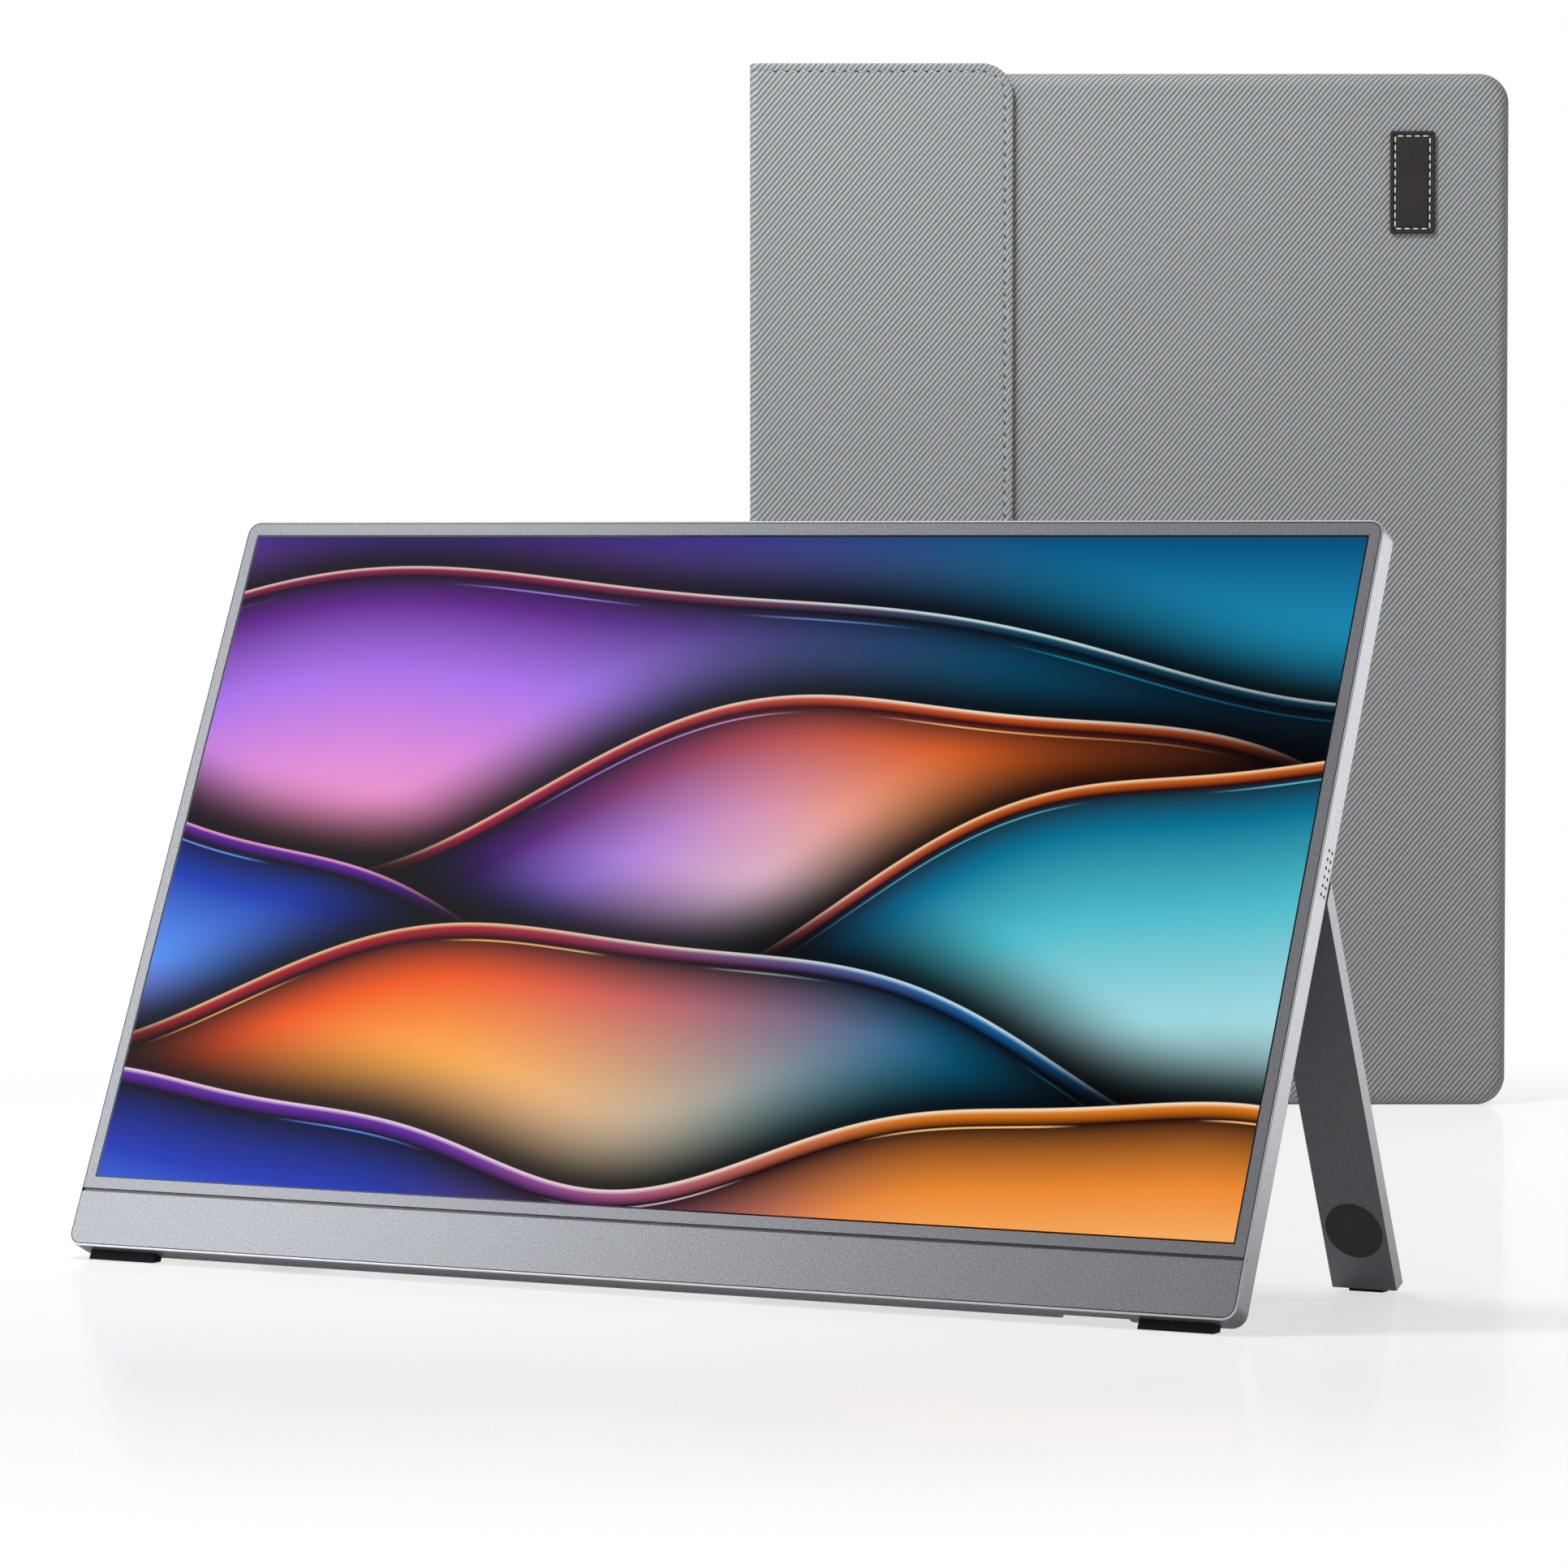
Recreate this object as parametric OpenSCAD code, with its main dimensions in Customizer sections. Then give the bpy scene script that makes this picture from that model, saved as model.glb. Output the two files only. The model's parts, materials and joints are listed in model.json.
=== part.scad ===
// Portable monitor on its own kickstand, with a padded sleeve standing behind it.
// Millimetres, +Z up. The front of the sleeve faces -Y. The monitor is turned
// towards -X and leans back. The origin is the middle of the monitor's left foot.

/* [Screen] */
// Width of the lit area
active_w = 344.2; // [290:0.2:420]
// Height of the lit area
active_h = 193.6; // [165:0.2:235]
// Metal border at each side of the lit area
side_border = 4.3; // [3.8:0.1:8]
// Metal border above the lit area
top_border = 4.8; // [3.8:0.1:8]
// Height from the bottom edge up to the lit area
chin_h = 20.4; // [19:0.2:28]
// Dark line left round the lit area inside the border
mask_line = 0.5; // [0.2:0.1:1]
// Depth of the glass below the border's face
glass_recess = 0.15; // [0.1:0.05:0.4]

/* [Case] */
// Thickness of the case without the raised housing
case_t = 8.0; // [7.8:0.1:11]
// Wall of the metal rear shell
shell_wall = 1.0; // [0.8:0.1:1.4]
// Corner radius of the case seen from the front
corner_r = 4.0; // [3:0.5:9]
// Radius of the long rear edges
rear_edge_r = 1.2; // [0.8:0.1:2]
// Bevel of the rim round the front
rim_bevel = 0.25; // [0.1:0.05:0.4]
// Width of the shell's rim that shows round the front covers
rim_w = 0.6; // [0.4:0.1:0.7]
// Thickness of the front border and of the chin cover
cover_t = 1.0; // [0.8:0.1:1.4]
// Gap round the front covers
cover_gap = 0.12; // [0.08:0.02:0.3]
// Width of the groove above the chin cover
groove_w = 1.0; // [0.6:0.1:1.4]
// Depth of that groove
groove_d = 0.6; // [0.4:0.1:0.7]
// Distance from the lit area down to the groove
groove_drop = 3.7; // [3:0.1:5]

/* [Panel stack] */
// Thickness of the liquid crystal cell
cell_t = 0.9; // [0.7:0.1:1.2]
// Width of the cell that is hidden on each side of the lit area
cell_margin = 1.8; // [1.2:0.1:2.2]
// Number of optical sheets behind the cell
sheet_count = 3; // [2:1:4]
// Thickness of one optical sheet
sheet_t = 0.18; // [0.12:0.02:0.24]
// Thickness of the light guide
guide_t = 0.6; // [0.5:0.1:0.9]
// Thickness of the backlight tray
tray_t = 0.4; // [0.3:0.1:0.6]
// Air between two layers of the stack
layer_gap = 0.05; // [0.02:0.01:0.08]
// Number of light emitting diodes along the bottom edge
led_count = 36; // [12:1:48]

/* [Stance] */
// Lean of the screen from upright
lean = 24.8; // [15:0.1:30]
// Angle between the back of the case and the open stand
stand_open = 48.4; // [40:0.1:58]
// Turn of the monitor about the vertical
turn = 28.9; // [0:0.1:40]
// Height of the rear edge above the table
table_gap = 0.9; // [0.5:0.1:2]

/* [Kickstand] */
// Height of the pivot above the bottom edge of the case
pivot_h = 115.5; // [100:0.5:140]
// Thickness of the stand
stand_t = 4.4; // [4:0.1:5.4]
// Width of each leg
leg_w = 18.3; // [15:0.1:23]
// Depth of the cross bar below the pivot
bar_drop = 9.0; // [7:0.5:13]
// Gap between the folded stand and the back
stand_gap = 0.3; // [0.2:0.05:0.6]
// Gap between the mitred top of the stand and the back when it is open
stop_gap = 0.05; // [0.02:0.01:0.2]
// Diameter of the hinge shafts
shaft_d = 2.2; // [1.8:0.1:2.4]
// Length of a hinge shaft
shaft_len = 32; // [26:1:44]
// Diameter of the bracket barrel round a shaft
barrel_d = 4.0; // [3.6:0.1:4.2]
// Length of that barrel
barrel_len = 10; // [8:0.5:13]
// Radial running clearance of a shaft in its barrel
run_fit = 0.05; // [0.02:0.01:0.1]
// Radial clearance of a pressed shaft or screw in its seat
press_gap = 0.02; // [0.01:0.005:0.03]
// Distance of each hinge from the side of the case
hinge_in = 53.4; // [46:0.1:86]
// Diameter of the round pads on the legs
pad_d = 16.0; // [12:0.5:17]
// Thickness of a pad
pad_t = 0.75; // [0.5:0.05:1.2]
// Height of a pad's centre above the end of the leg
pad_rise = 17.5; // [14:0.5:30]
// Width of the rubber foot in the end of a leg
leg_foot_w = 9.6; // [7:0.2:12]
// Depth of the seat of that foot
leg_foot_seat = 1.6; // [1:0.1:3]
// Length of rubber that shows below the leg
leg_foot_show = 0.8; // [0.5:0.1:1.5]
// Radius of the inner corners between the bar and the legs
stand_fillet = 6; // [3:0.5:10]

/* [Rear housing] */
// Gap between the raised housing and a folded leg
housing_gap = 0.9; // [0.5:0.1:2]
// Slope of the housing's sides
housing_slope = 1.6; // [0.8:0.1:2.5]
// Corner radius of the housing
housing_r = 5; // [4:0.5:9]
// Height of the housing's lower edge above the bottom edge
housing_z = 6; // [5:0.5:12]

/* [Feet and finger notch] */
// Length of a foot under the case
foot_len = 21; // [15:0.5:28]
// Width of a foot from front to back
foot_w = 3.6; // [3:0.1:4]
// Distance of a foot's middle behind the front
foot_y = 4.8; // [4.4:0.1:5]
// Distance of a foot from the side of the case
foot_inset = 6.5; // [5:0.5:15]
// Depth of the seat of a foot in the shell
foot_seat = 0.45; // [0.3:0.05:0.6]
// Width of the finger notch in the bottom edge
notch_w = 20; // [14:0.5:26]
// Distance of the notch from the right side of the case
notch_inset = 31; // [30:0.5:60]
// Depth of the notch up from the bottom edge
notch_h = 2.4; // [1.5:0.1:3]
// Distance of the notch behind the front
notch_y = 4.4; // [3:0.1:5]

/* [Speakers] */
// Rows of sound holes on each side
hole_rows = 6; // [4:1:8]
// Distance between two rows
hole_pitch = 2.4; // [2:0.1:3]
// Diameter of a sound hole
hole_d = 1.0; // [0.8:0.1:1.3]
// Height of the lowest row above the bottom edge
hole_z = 115.5; // [100:0.5:135]
// Distance of the first column of holes behind the front
hole_y = 3.5; // [3:0.1:4]
// Distance between the two columns
hole_column = 2.0; // [1.6:0.1:2.4]
// Height of a speaker box
speaker_h = 28; // [20:1:30]
// Depth of a speaker box from the side wall inwards
speaker_w = 14; // [10:1:20]

/* [Ports and buttons] */
// Height of the first socket above the bottom edge
usb_low_z = 34; // [30:1:38]
// Height of the second socket
usb_high_z = 48; // [46:1:51]
// Height of the picture socket
hdmi_z = 63; // [61:1:66]
// Height of the headphone socket
audio_z = 9; // [8.5:0.5:9.5]
// Height of the power button
power_z = 166; // [160:1:180]
// Height of the upper menu button
menu_up_z = 154; // [150:1:158]
// Height of the lower menu button
menu_down_z = 144; // [142:1:148]
// Length of a button
button_len = 8; // [6:0.5:8.5]
// Width of a button from front to back
button_w = 2.2; // [1.8:0.1:2.6]
// Height of a button above the side of the case
button_proud = 0.5; // [0.3:0.1:0.7]
// Gap round a button
button_gap = 0.15; // [0.1:0.05:0.25]
// Travel of a button
button_travel = 0.35; // [0.2:0.05:0.4]

/* [Circuit board] */
// Thickness of the main board
board_t = 0.8; // [0.6:0.1:1.2]
// Distance from the backlight tray to the main board
board_gap = 1.2; // [1:0.1:1.3]
// Length of the main board along the case
board_w = 145; // [120:5:165]
// Height of the main board's lower edge above the bottom edge
board_z = 16; // [15:0.5:17]
// Height of the main board
board_h = 80; // [70:1:82]

/* [Sleeve] */
// Outer fabric of the sleeve
fabric_t = 0.7; // [0.5:0.1:1]
// Foam between the fabric and the lining
foam_t = 1.0; // [0.9:0.1:2]
// Lining of the pocket
lining_t = 0.5; // [0.3:0.1:0.8]
// Play of the monitor along the pocket
pocket_play_l = 1.3; // [1:0.1:6]
// Play of the monitor from the mouth to the closed side
pocket_play_w = 13.1; // [4:0.1:20]
// Play of the monitor through the thickness
pocket_play_t = 0.9; // [0.6:0.1:4]
// Distance of the pocket's mouth from the folded edge
mouth_inset = 28; // [24:1:40]
// Corner radius of the sleeve seen from the front
sleeve_r = 10; // [7:0.5:16]
// Radius of the sleeve's long edges
sleeve_edge_r = 5; // [3.5:0.5:6.5]
// Place of the sleeve's folded edge along X
sleeve_x = 170; // [120:5:260]
// Place of the sleeve's front along Y
sleeve_y = 472; // [330:5:560]

/* [Flap] */
// Width of the flap
flap_w = 90; // [70:1:115]
// Thickness of the flap and its spine
flap_t = 2.4; // [2:0.1:3]
// Gap between the flap and the front of the sleeve
flap_gap = 0.3; // [0.2:0.1:1]
// Gap at the two creases
crease_gap = 0.3; // [0.2:0.1:0.5]
// Height of the flap above the top of the sleeve
flap_over = 3.3; // [1:0.1:6]
// Height of the flap's lower edge above the table
flap_lift = 0.5; // [0.3:0.1:3]
// Corner radius of the flap
flap_r = 11; // [6:0.5:20]
// Diameter of the catch magnets
magnet_d = 10; // [6:0.5:14]
// Thickness of the catch magnets
magnet_t = 0.7; // [0.4:0.1:0.8]

/* [Patch] */
// Width of the patch on the sleeve
patch_w = 15.5; // [12:0.5:24]
// Height of the patch
patch_h = 35.5; // [24:0.5:50]
// Thickness of the patch
patch_t = 1.2; // [0.8:0.1:1.6]
// Distance of the patch from the closed side
patch_side = 26; // [16:0.5:50]
// Distance of the patch from the top
patch_top = 20; // [14:0.5:60]
// Distance of the sunk border from the edge of the patch
patch_margin = 1.0; // [0.8:0.1:2]
// Width of the sunk border
patch_groove = 1.2; // [0.8:0.1:1.6]

/* [Hidden] */

$fn = 48;
hull_fn = 32;
big = 900;
thin = 0.01;

// Case outline, worked out from the lit area and its borders.
case_w = active_w + 2 * side_border;
case_h = chin_h + active_h + top_border;
inner_x = case_w / 2 - shell_wall;
inner_back = case_t - shell_wall;
groove_top = chin_h - groove_drop;
cover_inset = rim_w + cover_gap;

// Depths of the panel stack, from the front.
cell_y0 = cover_t + layer_gap;
cell_y1 = cell_y0 + cell_t;
sheet_step = sheet_t + layer_gap / 2;
sheets_y0 = cell_y1 + layer_gap;
sheets_y1 = sheets_y0 + sheet_count * sheet_step;
guide_y0 = sheets_y1 + layer_gap;
guide_y1 = guide_y0 + guide_t;
tray_y0 = guide_y1 + layer_gap;
tray_y1 = tray_y0 + tray_t;
guide_margin = 0.5;
led_drop = 1.5;
led_size = 0.6;
led_w = 3.0;
strip_t = 0.3;
tray_wall = 0.5;

// Stand in the frame of the case, and the height of the table under the leaning case.
pivot_y = case_t + stand_gap + stand_t / 2;
edge_y = case_t - rear_edge_r;
table_z = -edge_y * sin(lean) + rear_edge_r * (cos(lean) - 1) - table_gap;
splay = stand_open - lean;
pivot_up = pivot_h * cos(lean) - pivot_y * sin(lean) - table_z;
leg_len = (pivot_up - stand_t / 2 * sin(splay) - leg_foot_show) / cos(splay);
stop_h = stand_t / 2 + stand_gap - stop_gap;
mitre_out = (stop_h + stand_t / 2 * cos(stand_open)) / sin(stand_open);
leg_x = case_w / 2 - leg_w;
hinge_x = case_w / 2 - hinge_in;
barrel_slot = barrel_len + 2 * stand_gap;
slot_drop = barrel_d / 2 + 0.5;
arm_t = 3.2;
bracket_t = 1.2;
bracket_w = 34;
bracket_h = 18;
screw_r = 0.9;
head_r = 1.7;
head_t = 0.8;
bracket_screw_x = 12;
pad_seat = pad_t + 0.05;

// Raised housing, level with the folded stand.
housing_w = case_w - 2 * (leg_w + housing_gap);
housing_top = pivot_h - sqrt(pow(bar_drop, 2) + pow(stand_t / 2, 2)) - housing_gap;
housing_y = case_t + stand_gap + stand_t;
housing_floor = housing_y - shell_wall;

// Main board and what it carries.
board_y0 = tray_y1 + board_gap;
board_y1 = board_y0 + board_t;
board_x0 = -inner_x + 0.4;
port_y = (board_y0 + board_y1) / 2;
port_h = 3.2;
usb_w = 9.0;
hdmi_w = 11.2;
port_len = 7.4;
jack_r = 2.4;
jack_bore = 1.75;
jack_len = 11.6;
jack_size = 5.2;
jack_y = inner_back - jack_size / 2 - layer_gap;
plug_gap = 0.2;
standoff_r = 2.2;
standoff_places = [for (x = [board_x0 + 30, board_x0 + board_w - 8],
                        z = [board_z + 8, board_z + board_h - 6]) [x, z]];
boss_r = 2.2;
case_screw_x = case_w / 2 - leg_w / 2;
chin_screw_x = leg_x + boss_r + 0.7;
chin_screw_z = 9;
tray_screw_z = board_z + board_h + 4;
case_screw_places = [for (side = [-1, 1], p = [[chin_screw_x, chin_screw_z],
                                              [case_screw_x, tray_screw_z]])
                     [side * p[0], p[1]]];
stand_magnet_r = 3.4;
stand_magnet_t = inner_back - board_y1 - 2 * layer_gap;
stand_magnet_zs = [board_z + 5, board_z + board_h - 6];

// Keys behind the left side.
button_zs = [power_z, menu_up_z, menu_down_z];
button_y = (tray_y1 + inner_back) / 2;
flange_t = 0.6;
flange_grow = 0.35;
flange_len = button_len + 1;
plunger_x = -inner_x + flange_t + button_travel + 0.08;
plunger_r = 0.8;
plunger_len = 0.5;
switch_len = 1.3;
key_board_t = 0.8;

// Sleeve sizes, worked out from the monitor that it holds and the named play.
wall_t = fabric_t + foam_t + lining_t;
sleeve_t = housing_y + pocket_play_t + 2 * wall_t;
sleeve_l = case_w + pocket_play_l + 2 * wall_t;
sleeve_w = mouth_inset + case_h + pocket_play_w + wall_t;
crease_back = sleeve_t - flap_t / 2;
crease_front = -flap_gap - flap_t / 2;
flap_len = sleeve_l + flap_over - flap_lift;
skin_t = 1.4;
magnet_x = flap_w - 14;
magnet_zs = [sleeve_l * 0.22, sleeve_l * 0.78];
magnet_fit = 0.05;
layer_fit = 0.02;
lining_fit = 0.05;
binding_t = 0.8;

// Middle of the left foot on the table, which is the origin.
foot_x = case_w / 2 - foot_inset - foot_len / 2;
foot_mid_y = foot_y / cos(lean) + table_z * tan(lean);

// ---- placing ----

module on_case() {
    rotate([0, 0, -turn])
        translate([foot_x, -foot_mid_y, -table_z])
            rotate([-lean, 0, 0])
                children();
}

module on_stand() {
    on_case() translate([0, pivot_y, pivot_h]) rotate([stand_open, 0, 0]) children();
}

module on_sleeve() {
    translate([sleeve_x, sleeve_y, 0]) children();
}

// Keeps only what lies above the table.
module above_table() {
    difference() {
        children();
        translate([-big / 2, -big / 2, -big]) cube([big, big, big]);
    }
}

// ---- shared shapes ----

// Rectangle with round corners from (0, 0) to (w, h).
module rounded(w, h, r) {
    translate([r, 0]) square([w - 2 * r, h]);
    translate([0, r]) square([w, h - 2 * r]);
    for (x = [r, w - r], y = [r, h - r]) translate([x, y]) circle(r);
}

// Upright plate with round corners, from x0 to x1, z0 to z1 and y0 to y1.
module plate(x0, x1, z0, z1, r, y0, y1) {
    translate([x0, y1, z0])
        rotate([90, 0, 0])
            linear_extrude(y1 - y0) rounded(x1 - x0, z1 - z0, r);
}

module box(x0, x1, y0, y1, z0, z1) {
    translate([x0, y0, z0]) cube([x1 - x0, y1 - y0, z1 - z0]);
}

// Cylinder along Y from y0 to y1.
module pin_y(x, z, r, y0, y1) {
    translate([x, y0, z]) rotate([-90, 0, 0]) cylinder(r = r, h = y1 - y0);
}

// Cylinder along X from x0 to x1.
module pin_x(y, z, r, x0, x1) {
    translate([x0, y, z]) rotate([0, 90, 0]) cylinder(r = r, h = x1 - x0);
}

// Outline in the Y-Z plane, carried along X.
module along_x(x0, x1) {
    translate([x0, 0, 0]) rotate([90, 0, 90]) linear_extrude(x1 - x0) children();
}

// Screw along Y with its head at the rear end.
module rear_screw(x, z, y0, y1) {
    pin_y(x, z, screw_r, y0, y1 - head_t);
    pin_y(x, z, head_r, y1 - head_t, y1);
}

// Screw along Y with its head at the front end.
module front_screw(x, z, y0, y1) {
    pin_y(x, z, head_r, y0, y0 + head_t);
    pin_y(x, z, screw_r, y0 + head_t, y1);
}

// ---- case ----

// Outline of the shell at a depth, drawn in by a distance.
module shell_layer(inset, y0, y1) {
    plate(-case_w / 2 + inset, case_w / 2 - inset, inset, case_h - inset,
          corner_r - inset, y0, y1);
}

module shell_outside() {
    hull($fn = hull_fn) {
        shell_layer(rim_bevel, 0, thin);
        shell_layer(0, rim_bevel, edge_y);
        for (a = [30, 60, 90])
            shell_layer(rear_edge_r * (1 - cos(a)), edge_y + rear_edge_r * sin(a) - thin,
                        edge_y + rear_edge_r * sin(a));
    }
}

// Raised housing drawn in by a distance, up to a depth.
module housing_block(inset, y0, y1) {
    hull($fn = hull_fn) {
        plate(-housing_w / 2 + inset, housing_w / 2 - inset, housing_z + inset,
              housing_top - inset, housing_r - inset, y0, y0 + thin);
        plate(-housing_w / 2 + inset + housing_slope, housing_w / 2 - inset - housing_slope,
              housing_z + inset + housing_slope, housing_top - inset - housing_slope,
              housing_r - inset, y1 - thin, y1);
    }
}

// Openings in the left wall for sockets and buttons.
module side_openings() {
    for (z = [usb_low_z, usb_high_z])
        port_hole(z, usb_w + 2 * plug_gap, port_h + 2 * plug_gap);
    port_hole(hdmi_z, hdmi_w + 2 * plug_gap, port_h + 2 * plug_gap);
    pin_x(jack_y, audio_z, jack_r + plug_gap, -case_w / 2 - 1, -inner_x + 1);
    for (z = button_zs)
        translate([-case_w / 2 - 1, 0, 0])
            pill_x(button_y, z, button_len + 2 * button_gap, button_w + 2 * button_gap,
                   shell_wall + 2);
}

// Bar with round ends along X, seen from the side as a pill of the given length.
module pill_x(y, z, len, w, depth) {
    rotate([90, 0, 90])
        linear_extrude(depth) {
            translate([y - w / 2, z - (len - w) / 2]) square([w, len - w]);
            for (s = [-1, 1]) translate([y, z + s * (len - w) / 2]) circle(w / 2);
        }
}

// Pill-shaped hole through the left wall.
module port_hole(z, w, h) {
    translate([-case_w / 2 - 1, 0, 0]) pill_x(port_y, z, w, h, shell_wall + 2);
}

module sound_holes() {
    for (side = [-1, 1], row = [0 : hole_rows - 1], column = [0, 1])
        pin_x(hole_y + column * hole_column, hole_z + row * hole_pitch, hole_d / 2,
              side * (inner_x + shell_wall / 2) - 1, side * (inner_x + shell_wall / 2) + 1);
}

module foot_block(side, grow) {
    x = side * foot_x;
    box(x - foot_len / 2 - grow, x + foot_len / 2 + grow,
        foot_y - foot_w / 2 - grow, foot_y + foot_w / 2 + grow,
        -2 * table_gap - case_t, foot_seat + grow);
}

module rear_shell() {
    color("#8d919b") on_case() difference() {
        union() {
            difference() {
                shell_outside();
                plate(-inner_x, inner_x, shell_wall, case_h - shell_wall,
                      corner_r - shell_wall, -1, inner_back);
            }
            difference() {
                housing_block(0, inner_back, housing_y);
                housing_block(shell_wall, inner_back - 1, housing_floor);
            }
        }
        plate(-case_w / 2 + rim_w, case_w / 2 - rim_w, rim_w, case_h - rim_w,
              corner_r - rim_w, -1, cover_t);
        housing_block(shell_wall, inner_back - 1, inner_back + housing_slope);
        side_openings();
        sound_holes();
        for (p = case_screw_places) {
            pin_y(p[0], p[1], screw_r + press_gap, inner_back - 1, case_t + 1);
            pin_y(p[0], p[1], head_r + layer_fit, case_t - head_t - layer_gap - layer_fit,
                  case_t + 1);
        }
        for (side = [-1, 1]) {
            foot_block(side, layer_fit);
            box(side * hinge_x - barrel_len / 2 - stand_gap, side * hinge_x + barrel_len / 2
                + stand_gap, inner_back - 1, case_t + 1, pivot_h - arm_t / 2 - stand_gap,
                pivot_h + arm_t / 2 + stand_gap);
            for (x = [-1, 1])
                pin_y(side * hinge_x + x * bracket_screw_x, pivot_h, screw_r + press_gap,
                      inner_back - 1, case_t - 0.3);
        }
        box(case_w / 2 - notch_inset - notch_w, case_w / 2 - notch_inset, notch_y,
            case_t + 1, -1, notch_h);
    }
}

module front_border() {
    half = active_w / 2 + mask_line;
    color("#7f838c") on_case() {
        difference() {
            plate(-case_w / 2 + cover_inset, case_w / 2 - cover_inset, groove_top,
                  case_h - cover_inset, corner_r - cover_inset, 0, cover_t);
            box(-half, half, -1, cover_t + 1, chin_h - mask_line,
                chin_h + active_h + mask_line);
            box(-case_w, case_w, -1, cover_t + 1, groove_top - 1, groove_top);
        }
        for (side = [-1, 1])
            box(side * (case_w / 2 - cover_inset - corner_r / 2) - corner_r / 2,
                side * (case_w / 2 - cover_inset - corner_r / 2) + corner_r / 2,
                0, cover_t, groove_top, chin_h - mask_line);
        box(-case_w / 2 + cover_inset, case_w / 2 - cover_inset, groove_d, cover_t,
            groove_top - groove_w + cover_gap, groove_top);
    }
}

module chin_cover() {
    top = groove_top - groove_w;
    color("#9a9ea8") on_case() difference() {
        union() {
            plate(-case_w / 2 + cover_inset, case_w / 2 - cover_inset, cover_inset, top,
                  corner_r - cover_inset, 0, cover_t);
            for (side = [-1, 1]) {
                box(side * (case_w / 2 - cover_inset - corner_r / 2) - corner_r / 2,
                    side * (case_w / 2 - cover_inset - corner_r / 2) + corner_r / 2,
                    0, cover_t, top - corner_r, top);
                pin_y(side * chin_screw_x, chin_screw_z, boss_r, cover_t, inner_back);
            }
            for (x = [-0.25, 0, 0.25])
                box(x * case_w - 6, x * case_w + 6, cover_t, cover_t + 1.2,
                    shell_wall + 0.1, shell_wall + 1.3);
        }
        for (side = [-1, 1])
            pin_y(side * chin_screw_x, chin_screw_z, screw_r + press_gap, cover_t + 0.5,
                  inner_back + 1);
    }
}

// ---- screen and backlight ----

module screen_panel() {
    half = active_w / 2 + mask_line - layer_gap;
    color("#202733") on_case() {
        box(-half, half, glass_recess, cell_y0, chin_h - mask_line + layer_gap,
            chin_h + active_h + mask_line - layer_gap);
        box(-active_w / 2 - cell_margin, active_w / 2 + cell_margin, cell_y0, cell_y1,
            chin_h - cell_margin, chin_h + active_h + cell_margin);
    }
}

// Layer behind the cell, a little larger than the lit area.
module back_layer(y0, y1) {
    box(-active_w / 2 - guide_margin, active_w / 2 + guide_margin, y0, y1,
        chin_h - led_drop, chin_h + active_h + guide_margin);
}

module optical_sheets() {
    color("#e8ecef") on_case()
        for (i = [0 : sheet_count - 1])
            back_layer(sheets_y0 + i * sheet_step, sheets_y0 + i * sheet_step + sheet_t);
}

module light_guide() {
    color("#dfe8ea") on_case() back_layer(guide_y0, guide_y1);
}

module led_strip() {
    top = chin_h - led_drop - layer_gap;
    color("#f2d66b") on_case() {
        box(-active_w / 2, active_w / 2, guide_y0, guide_y1, top - led_size - strip_t,
            top - led_size);
        for (i = [0 : led_count - 1])
            translate([(i + 0.5) * active_w / led_count - active_w / 2, 0, 0])
                box(-led_w / 2, led_w / 2, guide_y0, guide_y1, top - led_size, top);
    }
}

module backlight_tray() {
    half = active_w / 2 + guide_margin + layer_gap;
    bottom = chin_h - led_drop - led_size - strip_t - 2 * layer_gap;
    top = chin_h + active_h + guide_margin + layer_gap;
    color("#c9ccd1") on_case() difference() {
        union() {
            box(-half - tray_wall, half + tray_wall, sheets_y0, tray_y1, bottom - tray_wall,
                top + tray_wall);
            for (side = [-1, 1])
                pin_y(side * case_screw_x, tray_screw_z, boss_r, tray_y1, inner_back);
        }
        box(-half, half, sheets_y0 - 1, tray_y0, bottom, top);
        for (side = [-1, 1])
            pin_y(side * case_screw_x, tray_screw_z, screw_r + press_gap, tray_y1 + 0.5,
                  inner_back + 1);
    }
}

// ---- electronics ----

module main_board() {
    color("#1f6b3a") on_case() difference() {
        box(board_x0, board_x0 + board_w, board_y0, board_y1, board_z, board_z + board_h);
        for (z = [usb_low_z, usb_high_z]) board_cut(z, usb_w, port_len);
        board_cut(hdmi_z, hdmi_w, port_len);
        for (p = standoff_places) pin_y(p[0], p[1], screw_r + 0.1, 0, case_t);
    }
}

// Cut-out in the board's left edge for a socket.
module board_cut(z, w, len) {
    box(-case_w, -inner_x + len + layer_gap, 0, case_t, z - w / 2 - layer_gap,
        z + w / 2 + layer_gap);
}

module board_chips() {
    chips = [[40, 50, 14, 14, 1.2], [62, 34, 8, 12, 1.0], [58, 56, 9, 9, 1.0],
             [112, 24, 7, 7, 3.0], [112, 40, 7, 7, 3.0], [124, 60, 10, 6, 1.4]];
    color("#22252a") on_case()
        for (c = chips)
            translate([board_x0 + c[0], board_y1, board_z + c[1]])
                box(0, c[2], 0, c[4], 0, c[3]);
}

module shield_can() {
    can_x0 = board_x0 + 34;
    can_z0 = board_z + 28;
    can_w = 42;
    can_h = 42;
    can_y = board_y1 + 2.4;
    wall = 0.3;
    color("#b9bdc2") on_case() difference() {
        box(can_x0, can_x0 + can_w, board_y1, can_y, can_z0, can_z0 + can_h);
        box(can_x0 + wall, can_x0 + can_w - wall, board_y1 - 1, can_y - wall,
            can_z0 + wall, can_z0 + can_h - wall);
    }
}

module panel_board() {
    color("#1c5e57") on_case()
        box(-active_w * 0.32, active_w * 0.32, cell_y1, cell_y1 + board_t, 3.4, 11.6);
}

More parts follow.
